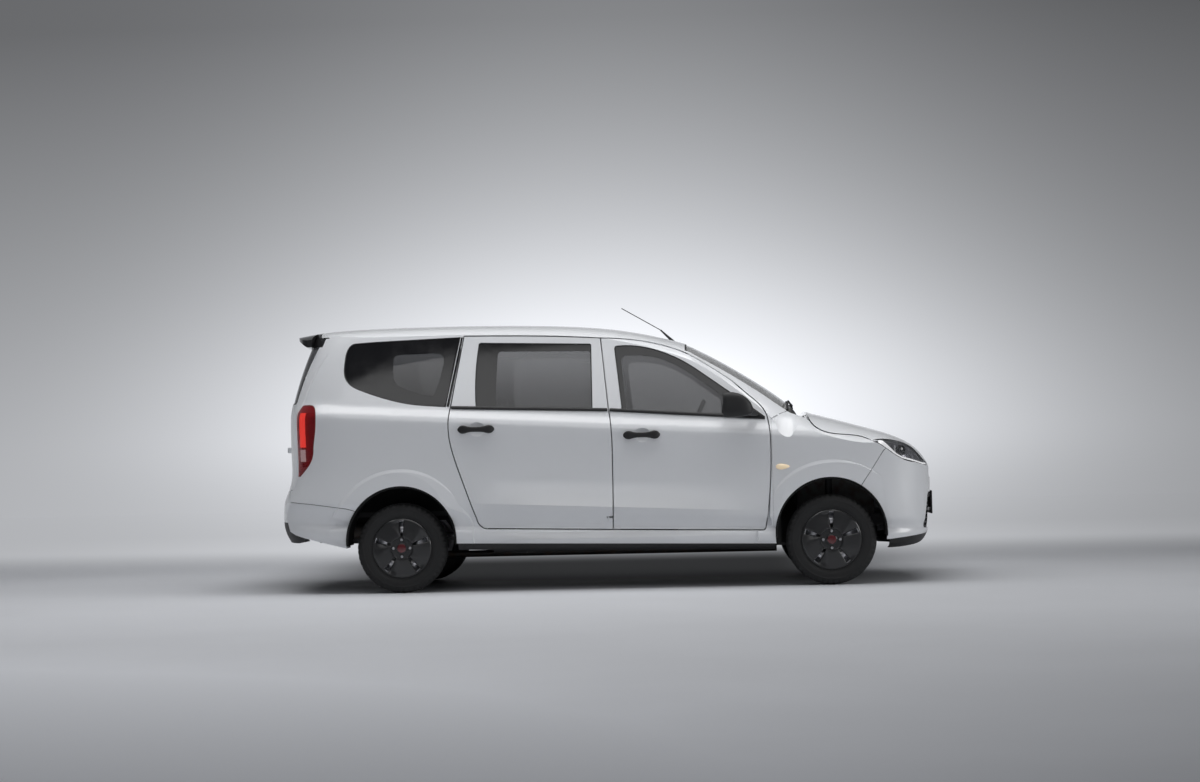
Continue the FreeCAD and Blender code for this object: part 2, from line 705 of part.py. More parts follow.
valance_half = shell.common(side_prism(REAR_VALANCE, far=0))
UPPER_GRILLE = [
    [(30, 690)], [(-430, 690)], [(-462, 700), (-470, 716)], [(-470, 752)], [(-455, 762), (-430, 765)],
    [(30, 765)],
]
LOWER_GRILLE = [
    [(30, 352)], [(-520, 352)], [(-560, 372), (-568, 400)], [(-520, 560)], [(-505, 586), (-478, 592)],
    [(30, 592)],
]
upper_hole = end_prism(UPPER_GRILLE, 1990, 2500)
lower_hole = end_prism(LOWER_GRILLE, 1990, 2500)
bumper_half = bumper_half.cut([upper_hole, lower_hole])
roof_half = shell.common(roof_plan).cut(gate_hole)
roof_limit = plan_prism([(ROOF_FRONT, 0), (ROOF_FRONT, -700), (-2500, -700), (-2500, 0)], 1200)
roof_half = roof_half.common(roof_limit)
gate_pin, gate_notch = gate_hinge()
roof_half = roof_half.fuse(gate_pin)
SCREEN_PLAN = [(ROOF_FRONT + SEAM, 0), (ROOF_FRONT + SEAM, -602), (1229, -638), (1272, -650), (1272, 0)]
screen_space = plan_prism(SCREEN_PLAN, 900)
screen_half = glass_front.common(screen_space).cut(glass_back)
gate_wall = size("rear_wall")
gate_inside = skin(gate_wall, gate_wall, gate_wall, size("roof_wall"), gate_wall)
gate_half = outer.common(gate_space(0)).cut(gate_inside)
gate_half = gate_half.cut(end_prism(TAILGATE_WINDOW, -2400, -1800))
gate_pane = end_prism(TAILGATE_WINDOW, -2400, -1800, -size("glass_fit"))
gate_glass_half = glass_front.common(gate_pane).cut(glass_back)


# Sub-parts

NODES = []


def feature(label, shape):
    """A sub-part whose shape comes from the skins above."""
    solids = shape.Solids
    tidy = solids[0] if len(solids) == 1 else Part.makeCompound(solids)
    thing = doc.addObject("Part::Feature", label)
    thing.Shape = tidy
    thing.Placement = Placement()
    thing.Label = label
    NODES.append(thing)
    return thing


def pair(name, shape):
    feature(name + "_right", shape)
    feature(name + "_left", mirrored(shape))


feature("roof_panel", whole(roof_half))
feature("windscreen", whole(screen_half))
pair("body_side", side)
pair("fender", fender)
pair("door_front", front_door)
pair("door_rear", rear_door)
pair("window_front", glazing(FRONT_WINDOW))
pair("window_rear", glazing(REAR_WINDOW))
quarter = glazing(QUARTER_WINDOW)
feature("quarter_windows", Part.makeCompound([quarter, mirrored(quarter)]))
feature("headlamps", Part.makeCompound([headlamp, mirrored(headlamp)]))
feature("tail_lamps", Part.makeCompound([tail_lamp, mirrored(tail_lamp)]))
trims = [sill_strip, mirrored(sill_strip), whole(lip_half), whole(valance_half)]
feature("lower_trims", Part.makeCompound(trims))
feature("bonnet", whole(bonnet_half))
feature("front_bumper", whole(bumper_half))
feature("rear_bumper", whole(rear_bumper_half))
# The spoiler over the tailgate's glass follows the roof's end in plan
SPOILER = [
    [(-2079, 1742)], [(-2083, 1733), (-2078, 1727)], [(-2039, 1697), (-1996, 1664)], [(-1950, 1640)],
    [(-1940, 1800)],
]
SPOILER_PLAN = [
    [(-2079, 30)], [(-2079, -150), (-2070, -330), (-2050, -470), (-2018, -552), (-1975, -590)],
    [(-1900, -590)], [(-1900, 30)],
]
wing = side_prism(SPOILER, near=-at_y(590), far=0).common(top_mould(0, 0)).cut(outer)
wing_plan = Part.Face(ring(SPOILER_PLAN, lambda x, y: spot(x, y, 1500))).extrude(Vector(0, 0, 400))
wing = wing.common(gate_space(0)).common(wing_plan)
feature("tailgate", whole(gate_half.fuse(wing).cut(gate_notch)))
feature("tailgate_window", whole(gate_glass_half))

# Grille bars behind the bumper's two openings

def slots(low, high, rows, reach, ribs):
    """Half of a field of slots between level bars and upright ribs."""
    tall = (at_z(high) - at_z(low)) / rows
    wide = reach / ribs
    cells = []
    for i in range(rows):
        for j in range(ribs):
            y, z = -(j * wide + BAR / 2), at_z(low) + i * tall + BAR / 2
            cells.append(block(at_x(1980), at_x(2500), y, y - wide + BAR, z, z + tall - BAR))
    return cells


BAR = 9
upper_bars = glass_back.common(upper_hole).cut(cavity).cut(slots(697, 759, 3, 440, 4))
lower_bars = glass_back.common(lower_hole).cut(cavity).cut(slots(362, 584, 8, 500, 5))
feature("grille", Part.makeCompound([whole(upper_bars), whole(lower_bars)]))

# Plates, both blank

plate_half, plate_tall = size("plate_width") / 2, size("plate_height")
plate_back = NOSE - size("plate_thickness")
plate_low = at_z(518) - plate_tall / 2
front_plate = block(plate_back, NOSE, -plate_half, plate_half, plate_low, plate_low + plate_tall)
bracket = block(at_x(2100), plate_back, -plate_half * 0.5, plate_half * 0.5, at_z(480), at_z(556))
nose_front = glass_back.fuse(mirrored(glass_back))
feature("front_plate", front_plate.fuse(bracket.cut(nose_front)).removeSplitter())
rear_plate = block(at_x(-2190), at_x(-2100), -plate_half, plate_half, at_z(800), at_z(800) + plate_tall)
plate_face = at_x(-2150) - size("plate_thickness")
rear_plate = rear_plate.common(block(plate_face, at_x(-2100), -900, 900, 0, 1500))
feature("rear_plate", rear_plate.cut(outer.fuse(mirrored(outer))))

# Mirrors and handles of the doors

def mirror_housing():
    """A rounded case on an arm, seated on the door's skin at the window's front corner."""
    x0, x1 = at_x(842), at_x(1016)
    case = block(x0, x1, -at_y(990), -at_y(862), at_z(1112), at_z(1280))
    case = case.makeFillet(30, case.Edges)
    arm = block(at_x(925), at_x(1020), -at_y(880), -at_y(760), at_z(1116), at_z(1158))
    arm = arm.makeFillet(12, arm.Edges)
    return case.fuse(arm).cut(outer).removeSplitter()


def handle(x, z):
    """A bridge handle that stands on the door's skin at both ends."""
    long, tall = size("handle_length"), size("handle_height")
    front = -(HALF_WIDTH + size("handle_proud") - 4)
    low = at_z(z) - tall / 2
    grip = block(at_x(x) - long / 2, at_x(x) + long / 2, front, -at_y(780), low, low + tall)
    grip = grip.makeFillet(12, [edge for edge in grip.Edges if edge.CenterOfMass.y < front + 1])
    space = block(at_x(x) - long * 0.3, at_x(x) + long * 0.3, front + 13, -at_y(780), 0, 2000)
    return grip.cut(space).cut(outer)


front_trim = Part.makeCompound([mirror_housing(), handle(*FRONT_HANDLE)])
rear_trim = handle(*REAR_HANDLE)
pair("mirror_and_handle", front_trim)
pair("rear_handle", rear_trim)

# Cowl under the screen's foot, with the bonnet's hinge straps and pins

COWL = [
    [(1283, 1174)], [(1300, 1130)], [(1308, 1056)], [(1402, 1056)], [(1402, 1032)], [(1266, 1032)],
    [(1266, 1178)],
]
cowl = side_prism(COWL, near=-at_y(650), far=0).common(glass_back)
strap_low, strap_high = hinge_y - STRAP / 2, hinge_y + STRAP / 2
hinge_strap = block(hinge_x - pin_radius, hinge_x + pin_radius, strap_low, strap_high, at_z(1036), hinge_z)
cowl = cowl.fuse([rod(pin_radius, pin_low, pin_high), hinge_strap])
feature("cowl", whole(cowl))

# Dashboard, floor and wheel housings

BULKHEAD = 1232
DASH_END = BULKHEAD - 0.3
DASHBOARD = [
    [(DASH_END, 1134)], [(1180, 1128), (1080, 1116)], [(985, 1092), (930, 1050), (905, 985)], [(945, 760)],
    [(DASH_END, 760)],
]
column_base = Vector(at_x(606), at_y(370), at_z(1076))
COLUMN_TILT = 25
column_line = Vector(-math.cos(math.radians(COLUMN_TILT)), 0, math.sin(math.radians(COLUMN_TILT)))
dash_half = side_prism(DASHBOARD, near=-at_y(800), far=0).common(post_back)
column_hole = rod(size("column_radius") + size("column_fit"), column_base, column_base - column_line * 520)
feature("dashboard", whole(dash_half).cut(column_hole))


def floor_slab(x0, x1, height, thickness):
    slab = block(at_x(x0), at_x(x1), -900, 0, height, height + thickness)
    return slab.common(cavity)


KICK_UP = -700
floor_low, floor_wall = size("floor_height"), size("floor_thickness")
rear_floor = size("rear_floor_height")
floor = floor_slab(KICK_UP, 1262, floor_low, floor_wall)
floor = floor.fuse(floor_slab(-2130, KICK_UP, rear_floor, floor_wall))
kick = block(at_x(KICK_UP) - floor_wall, at_x(KICK_UP), -900, 0, floor_low, rear_floor + floor_wall)
kick = kick.common(cavity)
bulkhead = block(at_x(BULKHEAD), at_x(BULKHEAD) + floor_wall, -900, 0, floor_low, at_z(1032)).common(post_back)
rail_out, rail_in = -at_y(448), -at_y(398)
rail = block(at_x(BULKHEAD), at_x(2108), rail_out, rail_in, at_z(372), at_z(452))
support = block(at_x(2078), at_x(2108), -at_y(600), 0, at_z(345), at_z(770)).common(cavity)
JACK_STATIONS, JACK_Y, JACK_SIZE, JACK_DEPTH = (950, -550), 600, 60, 8
jack_pads = []
for station in JACK_STATIONS:
    pad_x, pad_y = at_x(station) - JACK_SIZE / 2, -at_y(JACK_Y) - JACK_SIZE / 2
    pad_z = floor_low - JACK_DEPTH
    jack_pads.append(block(pad_x, pad_x + JACK_SIZE, pad_y, pad_y + JACK_SIZE, pad_z, floor_low + 5))
floor = floor.fuse([kick, bulkhead, rail, support] + jack_pads)
liner_r = size("arch_radius") + size("liner_gap")
TUB_IN_FRONT, TUB_IN_REAR = -at_y(432), -at_y(545)
floor = floor.cut(arch(FRONT_AXLE, liner_r + size("liner_wall"), far=TUB_IN_FRONT))
floor = floor.cut(arch(REAR_AXLE, liner_r + size("liner_wall"), far=TUB_IN_REAR))
feature("floor_frame", whole(floor))

STRUT_TOP = 905


def housing(x, tub_in, low):
    """The liner over a wheel: a half ring."""
    wall = size("liner_wall")
    hoop = arch(x, liner_r + wall, far=tub_in).cut(arch(x, liner_r, far=tub_in))
    return hoop.common(cavity).common(block(x - 600, x + 600, -1100, 0, low, 1200))


strut_y = -(WHEEL_Y - size("kingpin_offset") - size("strut_inset"))
tower_r = size("spring_radius") + 10
tower_low = Vector(FRONT_AXLE, strut_y, ARCH_HEIGHT + 330)
tower_high = Vector(FRONT_AXLE, strut_y, at_z(STRUT_TOP))
front_housing = housing(FRONT_AXLE, TUB_IN_FRONT, at_z(300))
tower = rod(tower_r + 6, tower_low, tower_high + Vector(0, 0, 8)).cut(rod(tower_r, tower_low, tower_high))
tower = tower.cut(arch(FRONT_AXLE, liner_r + 1, far=0))
front_housing = front_housing.cut([rod(tower_r, tower_low, tower_high), front_post]).fuse(tower)
rear_housing = housing(REAR_AXLE, TUB_IN_REAR, at_z(300))
liner_wall = size("liner_wall")
rear_wall = arch(REAR_AXLE, liner_r + liner_wall, near=TUB_IN_REAR, far=TUB_IN_REAR + liner_wall)
above_floor = block(REAR_AXLE - 600, REAR_AXLE + 600, -1100, 0, rear_floor + floor_wall, 1200)
rear_wall = rear_wall.common(above_floor)
rear_housing = rear_housing.fuse(rear_wall)
liners = [front_housing, rear_housing]
feature("wheel_housings", Part.makeCompound(liners + [mirrored(liner) for liner in liners]))

whip_foot, whip_knee, whip_tip = spot(493, 0, 1652), spot(397, 0, 1744), spot(129, 0, 1901)
whip = rod(size("antenna_radius"), whip_knee - (whip_tip - whip_knee) * 0.02, whip_tip)
thick = Part.makeCone(12, 5, (whip_knee - whip_foot).Length, whip_foot, whip_knee - whip_foot)
feature("antenna", whip.fuse(thick).cut(outer.fuse(mirrored(outer))))

# Sub-parts made of primitives, bodies and booleans of the document

ALONG_Y = Rotation(Vector(1, 0, 0), -90)
ALONG_X = Rotation(Vector(0, 1, 0), 90)
UPRIGHT = Rotation()
HUB_Z = "Sizes.tyre_radius"


def primitive(kind, name, sizes, place, turn=UPRIGHT):
    """A Part primitive whose sizes and place are expressions of the sheet."""
    thing = doc.addObject("Part::" + kind, name)
    thing.Placement = Placement(Vector(), turn)
    for word, rule in sizes.items():
        thing.setExpression(word, rule)
    for axis, rule in zip("xyz", place):
        thing.setExpression("Placement.Base." + axis, rule)
    return thing


def bar(name, length, width, height, place):
    """A box whose place is its low corner."""
    return primitive("Box", name, {"Length": length, "Width": width, "Height": height}, place)


def drum(name, radius, height, place, turn=UPRIGHT):
    return primitive("Cylinder", name, {"Radius": radius, "Height": height}, place, turn)


def fused(name, parts):
    thing = doc.addObject("Part::MultiFuse", name)
    thing.Shapes = parts
    return thing


def drilled(name, base, tool):
    thing = doc.addObject("Part::Cut", name)
    thing.Base = base
    thing.Tool = tool
    return thing


def mirror_image(name, source):
    thing = doc.addObject("Part::Mirroring", name)
    thing.Source = source
    thing.Normal = Vector(0, 1, 0)
    return thing


def together(name, parts):
    thing = doc.addObject("Part::Compound", name)
    thing.Links = parts
    return thing


def node(thing, label):
    thing.Label = label
    NODES.append(thing)
    return thing


# Wheels

def origin_plane(body, role):
    return [plane for plane in body.Origin.OriginFeatures if plane.Role == role][0]


def profile(body, name, role, points, bound=()):
    """A closed sketch of straight lines. bound lists (point, direction, expression) for what sets a size."""
    sketch = body.newObject("Sketcher::SketchObject", name)
    sketch.AttachmentSupport = [(origin_plane(body, role), "")]
    sketch.MapMode = "FlatFace"
    corners = [Vector(a, b, 0) for a, b in points]
    for i, corner in enumerate(corners):
        sketch.addGeometry(Part.LineSegment(corner, corners[(i + 1) % len(corners)]), False)
    for i in range(len(corners)):
        sketch.addConstraint(Sketcher.Constraint("Coincident", i, 2, (i + 1) % len(corners), 1))
    for point, direction, rule in bound:
        value = points[point][0] if direction == "DistanceX" else points[point][1]
        index = sketch.addConstraint(Sketcher.Constraint(direction, -1, 1, point, 1, value))
        sketch.setExpression(f"Constraints[{index}]", rule)
    return sketch


def revolved(name, points, bound=()):
    """A body turned about its own Y axis from a profile of (distance out, radius)."""
    body = doc.addObject("PartDesign::Body", name)
    sketch = profile(body, name + "_profile", "YZ_Plane", points, bound)
    turning = body.newObject("PartDesign::Revolution", name + "_turned")
    turning.Profile = sketch
    turning.ReferenceAxis = (sketch, ["H_Axis"])
    turning.Angle = 360
    return body


def mirrored_profile(half):
    return half + [(-u, r) for u, r in reversed(half)]


tyre_r, rim_r, half_tyre = size("tyre_radius"), size("rim_radius"), size("tyre_width") / 2
TREAD = 16
GROOVE = 7


def tyre_point(across, up):
    """A point of the sidewall: shares of the half width and of the height above the rim."""
    return across * half_tyre, rim_r + up * (tyre_r - rim_r)


TYRE_PROFILE = mirrored_profile([
    (4, tyre_r - GROOVE), (5, tyre_r), (0.40 * half_tyre, tyre_r - 0.5), (0.41 * half_tyre, tyre_r - GROOVE),
    (0.51 * half_tyre, tyre_r - GROOVE), (0.52 * half_tyre, tyre_r - 1), tyre_point(0.76, 0.985),
    tyre_point(0.85, 0.955), tyre_point(0.905, 0.90), tyre_point(0.945, 0.83), tyre_point(0.985, 0.70),
    tyre_point(1, 0.55), tyre_point(0.99, 0.42), tyre_point(0.945, 0.22), (0.90 * half_tyre, rim_r + 18),
    (0.89 * half_tyre, rim_r + 12.6), (0.845 * half_tyre, rim_r + 12.6), (0.845 * half_tyre, rim_r + 3.3),
    (0.62 * half_tyre, rim_r + 0.3), (0.64 * half_tyre, rim_r + 16), tyre_point(0.82, 0.5),
    (0.74 * half_tyre, tyre_r - TREAD),
])

SHELL = size("rim_thickness")
SPIGOT, BORE = 27, 27.1
DISC_OUT, FLANGE_OUT = 26, 0.85 * half_tyre + 0.2
barrel_in = rim_r - 22
RIM_PROFILE = [
    (-FLANGE_OUT, rim_r + 12), (-FLANGE_OUT - 5, rim_r + 12), (-FLANGE_OUT - 5, rim_r - SHELL),
    (-48, rim_r - SHELL), (-38, barrel_in - SHELL), (DISC_OUT - SHELL, barrel_in - SHELL),
    (DISC_OUT - SHELL, BORE), (DISC_OUT, BORE), (DISC_OUT, barrel_in - SHELL), (38, rim_r - SHELL),
    (FLANGE_OUT + 5, rim_r - SHELL), (FLANGE_OUT + 5, rim_r + 12),
    (FLANGE_OUT, rim_r + 12), (FLANGE_OUT, rim_r), (34, rim_r), (24, barrel_in), (-34, barrel_in), (-44, rim_r),
    (-FLANGE_OUT, rim_r),
]
cover_r = size("cover_radius")
COVER_EDGE = FLANGE_OUT + 5
COVER_STEPS = [
    (0, rim_r), (0, cover_r), (4, cover_r), (8, cover_r - 10), (11, cover_r - 60), (13, 78), (10, 72), (10, 33),
    (15, 31), (17, 24), (17, 0), (6, 0), (6, 76), (7, cover_r - 60), (4, cover_r - 14),
]
COVER_PROFILE = [(COVER_EDGE + proud, radius) for proud, radius in COVER_STEPS]
SPOKE_SLOTS = 5
SLOT = [(-20, cover_r - 12), (22, cover_r - 12), (13, 84), (3, 78), (-6, 84)]


def wheel(name, x_rule, y_rule, turn):
    """A tyre, and a steel rim with its slotted cover, at one corner of the van."""
    place = (x_rule, y_rule, HUB_Z)
    tyre = revolved("tyre_" + name, TYRE_PROFILE, [(1, "DistanceY", "Sizes.tyre_radius")])
    rim = revolved("rim_" + name + "_barrel", RIM_PROFILE, [(13, "DistanceY", "Sizes.rim_radius")])
    cover = revolved("rim_" + name + "_cover", COVER_PROFILE, [(1, "DistanceY", "Sizes.cover_radius")])
    doc.recompute()
    solid_cover = cover.Shape.Volume
    opening = profile(cover, "slot_" + name, "XZ_Plane", SLOT)
    pocket = cover.newObject("PartDesign::Pocket", "slot_cut_" + name)
    pocket.Profile = opening
    pocket.Type = "ThroughAll"
    pocket.Midplane = True
    pattern = cover.newObject("PartDesign::PolarPattern", "slots_" + name)
    pattern.Originals = [pocket]
    pattern.Axis = ([axis for axis in cover.Origin.OriginFeatures if axis.Role == "Y_Axis"][0], [""])
    pattern.Angle = 360
    pattern.Occurrences = SPOKE_SLOTS
    cover.Tip = pattern
    doc.recompute()
    if not cover.Shape.Volume < 0.95 * solid_cover:
        raise RuntimeError("the slots of " + name + " cut nothing")
    for body in (tyre, rim, cover):
        body.Placement = Placement(Vector(), turn)
        for axis, rule in zip("xyz", place):
            body.setExpression("Placement.Base." + axis, rule)
    node(tyre, "tyre_" + name)
    node(fused("rim_" + name + "_fused", [rim, cover]), "rim_" + name)


FACING_LEFT = Rotation()
FACING_RIGHT = Rotation(Vector(0, 0, 1), 180)
for end, x_rule in (("front", FRONT_X), ("rear", REAR_X)):
    wheel(end + "_left", x_rule, WHEEL_PLANE, FACING_LEFT)
    wheel(end + "_right", x_rule, "-" + WHEEL_PLANE, FACING_RIGHT)

# Front suspension and steering

HUB_FACE = f"({WHEEL_PLANE} + {DISC_OUT - SHELL} - Sizes.wheel_fit)"


def knuckle():
    """The left upright with its kingpin, hub and steering arm."""
    post_bar = bar("upright", "44", "36", "210", (FRONT_X + " - 22", KINGPIN_Y + " - 18", HUB_Z + " - 105"))
    king = drum("kingpin", "Sizes.kingpin_radius", "284", (FRONT_X, KINGPIN_Y, HUB_Z + " - 142"))
    hub = drum("hub", "Sizes.hub_radius", HUB_FACE + " - " + KINGPIN_Y, (FRONT_X, KINGPIN_Y, HUB_Z), ALONG_Y)
    spigot = drum("spigot", "27", "30", (FRONT_X, HUB_FACE, HUB_Z), ALONG_Y)
    arm_at = (FRONT_X + " - Sizes.rack_setback - 18", KINGPIN_Y + " - 22",
              "Sizes.rack_height + Sizes.rack_radius + 6")
    arm = bar("steering_arm", "Sizes.rack_setback + 18", "20", "16", arm_at)
    return fused("knuckle_fused", [post_bar, king, hub, spigot, arm])


left_knuckle = node(knuckle(), "knuckle_left")
node(mirror_image("knuckle_mirrored", left_knuckle), "knuckle_right")

rack_x = FRONT_X + " - Sizes.rack_setback"
rack_end = f"({KINGPIN_Y} - 40)"
rack_place = (rack_x, "-" + rack_end, "Sizes.rack_height")
rack = drum("rack_bar", "Sizes.rack_radius", "2 * " + rack_end, rack_place, ALONG_Y)
node(rack, "steering_rack")


def strut_leg():
    """The left strut with its spring, foot and lower arm."""
    strut_place = f"({KINGPIN_Y} - Sizes.strut_inset)"
    foot = bar("strut_foot", "44", "Sizes.strut_inset + 46", "20",
               (FRONT_X + " - 22", strut_place + " - 26", HUB_Z + " + 115"))
    leg_tall, rail_z = f"{at_z(STRUT_TOP) - HUB_HEIGHT - 115}", f"{at_z(372)}"
    leg = drum("strut_leg", "Sizes.strut_radius", leg_tall, (FRONT_X, strut_place, HUB_Z + " + 115"))
    spring_place = (FRONT_X, strut_place, f"{at_z(STRUT_TOP) - 200}")
    spring = drum("strut_spring", "Sizes.spring_radius", "190", spring_place)
    lower_place = (FRONT_X + " - 35", "395", HUB_Z + " - 135")
    lower = bar("lower_arm", "70", f"{KINGPIN_Y} + 20 - 395", "20", lower_place)
    post_place = (FRONT_X + " - 10", "398", HUB_Z + " - 135")
    leg_post = bar("subframe_leg", "60", "50", f"{rail_z} - {HUB_Z} + 135", post_place)
    bore_place = (FRONT_X, KINGPIN_Y, HUB_Z + " - 200")
    bore = drum("kingpin_bore", "Sizes.kingpin_radius + Sizes.kingpin_fit", "400", bore_place)
    solid = fused("strut_solid", [foot, leg, spring, lower, leg_post])
    return drilled("strut_bored", solid, bore)


left_leg = strut_leg()
crossmember = bar("crossmember", "110", "880", "46", (FRONT_X + " - 60", "-440", HUB_Z + " - 136"))
mounts, guides = [], []
for i, y in enumerate(("190", "-190")):
    mounts.append(drum(f"engine_mount_{i}", "30", "120", (FRONT_X + " + 20", y, HUB_Z + " - 100")))
for i, y in enumerate((300, -330)):
    guides.append(bar(f"rack_guide_{i}", "60", "30", "90", (rack_x + " - 25", str(y), HUB_Z + " - 50")))
    foot_place = (rack_x + " - 25", str(y), HUB_Z + " - 120")
    guides.append(bar(f"rack_foot_{i}", "Sizes.rack_setback", "30", "30", foot_place))
    guides.append(bar(f"rack_leg_{i}", "60", "30", "80", foot_place))
rack_bore_place = (rack_x, "-800", "Sizes.rack_height")
rack_bore = drum("rack_bore", "Sizes.rack_radius + Sizes.rack_fit", "1600", rack_bore_place, ALONG_Y)
right_leg = mirror_image("leg_mirrored", left_leg)
subframe = fused("subframe_fused", [crossmember, left_leg, right_leg] + mounts + guides)
node(drilled("subframe_bored", subframe, rack_bore), "front_suspension")
engine = bar("engine_block", "Sizes.engine_length", "Sizes.engine_width", "Sizes.engine_height",
             (FRONT_X + " - 200", "-Sizes.engine_width / 2", HUB_Z + " + 20"))
engine_cut = bar("engine_relief", "160", "900", "70", (rack_x + " - 90", "-450", HUB_Z + " + 10"))
node(drilled("engine_shaped", engine, engine_cut), "engine")

# Rear axle, springs and exhaust

tube_place = (REAR_X, "-" + WHEEL_PLANE + " + 110", HUB_Z)
tube = drum("axle_tube_bar", "Sizes.axle_tube", f"2 * ({WHEEL_PLANE} - 110)", tube_place, ALONG_Y)
ball = primitive("Sphere", "differential_ball", {"Radius": "Sizes.differential_radius"}, (REAR_X, "0", HUB_Z))
hubs = []
for side_name, sign in (("left", "1"), ("right", "-1")):
    start = f"({WHEEL_PLANE} - 120)" if sign == "1" else f"(-{HUB_FACE})"
    reach = f"{HUB_FACE} - {WHEEL_PLANE} + 120"
    hubs.append(drum("rear_hub_" + side_name, "Sizes.hub_radius", reach, (REAR_X, start, HUB_Z), ALONG_Y))
    start = HUB_FACE if sign == "1" else f"(-{HUB_FACE} - 30)"
    hubs.append(drum("rear_spigot_" + side_name, "27", "30", (REAR_X, start, HUB_Z), ALONG_Y))
node(fused("rear_axle_fused", [tube, ball] + hubs), "rear_axle")

leaf = bar("leaf", "Sizes.spring_length", "Sizes.spring_leaf_width", "Sizes.spring_leaf_height",
           (REAR_X + " - Sizes.spring_length / 2", "Sizes.spring_spacing / 2 - Sizes.spring_leaf_width / 2",
            HUB_Z + " + Sizes.axle_tube + 0.2"))
hangers = []
hanger_tall = "Sizes.rear_floor_height - Sizes.tyre_radius - Sizes.axle_tube - 0.2"
hanger_y = "Sizes.spring_spacing / 2 - Sizes.spring_leaf_width / 2"
for i, shift in enumerate((" - Sizes.spring_length / 2", " + Sizes.spring_length / 2 - 40")):
    hanger_place = (REAR_X + shift, hanger_y, HUB_Z + " + Sizes.axle_tube + 0.2")
    hangers.append(bar(f"spring_hanger_{i}", "40", "Sizes.spring_leaf_width", hanger_tall, hanger_place))
left_spring = fused("rear_spring_fused", [leaf] + hangers)
right_spring = mirror_image("rear_spring_mirrored", left_spring)
node(together("rear_springs_both", [left_spring, right_spring]), "rear_springs")

# The pipe runs under the axle and rises to a silencer tucked up behind it
SILENCER_Z = "(Sizes.rear_floor_height - Sizes.silencer_radius - 40)"
EXHAUST_Y = "230"
RISER_X, RISER_LENGTH, RISER_LEAN = " - 120", "230", -38
silencer_x = REAR_X + " - 210 - Sizes.silencer_length"
PIPE_R, PIPE_Z = "Sizes.exhaust_radius", "Sizes.exhaust_height"
pipe = drum("exhaust_pipe", PIPE_R, "2640", (REAR_X + RISER_X + " - 12", EXHAUST_Y, PIPE_Z), ALONG_X)
riser_turn = Rotation(Vector(0, 1, 0), RISER_LEAN)
riser = drum("exhaust_riser", PIPE_R, RISER_LENGTH, (REAR_X + RISER_X, EXHAUST_Y, PIPE_Z), riser_turn)
silencer_place = (silencer_x, EXHAUST_Y, SILENCER_Z)
silencer = drum("silencer_drum", "Sizes.silencer_radius", "Sizes.silencer_length", silencer_place, ALONG_X)
tail_place = (silencer_x + " - 80", EXHAUST_Y, SILENCER_Z + " - 30")
tail_pipe = drum("tail_pipe", PIPE_R, "120", tail_place, ALONG_X)
strap_mid = bar("exhaust_strap", "30", "30", "Sizes.floor_height - " + PIPE_Z, ("300", "215", PIPE_Z))
strap_place = (silencer_x + " + 180", "210", "Sizes.rear_floor_height - 80")
strap_rear = bar("silencer_strap", "40", "40", "80", strap_place)
node(fused("exhaust_fused", [pipe, riser, silencer, tail_pipe, strap_mid, strap_rear]), "exhaust")

# Steering wheel

tilt = Rotation(Vector(0, 1, 0), -(90 - COLUMN_TILT))


def on_column(distance):
    """The expressions of a place on the steering column, that far before the wheel's plane."""
    place = column_base - column_line * distance
    return f"{place.x}", f"{place.y}", f"{place.z}"


grip_sizes = {"Radius1": "Sizes.steering_radius", "Radius2": "Sizes.steering_grip"}
grip = primitive("Torus", "steering_grip_ring", grip_sizes, on_column(0), tilt)
boss = drum("steering_boss", "62", "40", on_column(35), tilt)
shaft = drum("steering_shaft", "Sizes.column_radius", "460", on_column(470), tilt)
spokes = []
for i, angle in enumerate((0, 180, 270)):
    spoke = doc.addObject("Part::Box", f"steering_spoke_{i}")
    spoke.Length, spoke.Width, spoke.Height = 186, 34, 12
    spoke.setExpression("Length", "Sizes.steering_radius")
    turned = tilt.multiply(Rotation(Vector(0, 0, 1), angle + 90))
    spoke.Placement = Placement(column_base + turned.multVec(Vector(0, -17, -12)), turned)
    spokes.append(spoke)
node(fused("steering_wheel_fused", [grip, boss, shaft] + spokes), "steering_wheel")

# Seats

def seat(name, points, width, y_rule):
    """A cushion and its back as one padded profile, padded across to its width."""
    body = doc.addObject("PartDesign::Body", name)
    sketch = profile(body, name + "_side", "XZ_Plane", [(at_x(x), z) for x, z in points])
    pad = body.newObject("PartDesign::Pad", name + "_pad")
    pad.Profile = sketch
    pad.Midplane = True
    pad.Length = size("seat_width")
    pad.setExpression("Length", width)
    body.setExpression("Placement.Base.y", y_rule)
    return body


def seat_points(x, floor_top, cushion, back):
    """Side view of a seat from its front foot: pedestal, cushion, and a back that leans."""
    foot = [(x - 40, floor_top), (x - 40, cushion - 130), (x, cushion - 110)]
    top = [(x - 10, cushion), (x - 380, cushion - 20), (x - 480, back - 20), (x - 500, back)]
    rear = [(x - 590, back), (x - 600, back - 30), (x - 530, cushion - 120), (x - 500, floor_top)]
    return foot + top + rear


front_top, rear_top = floor_low + floor_wall, rear_floor + floor_wall
FRONT_SEAT = seat_points(560, front_top, 610, 1130)
BENCH = seat_points(-150, front_top, 640, 1150)
THIRD_BENCH = seat_points(-1060, rear_top, 800, 1190)
left_seat = seat("front_seat_left", FRONT_SEAT, "Sizes.seat_width", "370")
right_seat = seat("front_seat_right", FRONT_SEAT, "Sizes.seat_width", "-370")
node(together("front_seats_both", [left_seat, right_seat]), "front_seats")
middle_bench = seat("middle_bench", BENCH, "Sizes.bench_width", "0")
third_bench = seat("third_bench", THIRD_BENCH, "Sizes.bench_width - 180", "0")
node(together("rear_seats_both", [middle_bench, third_bench]), "rear_seats")

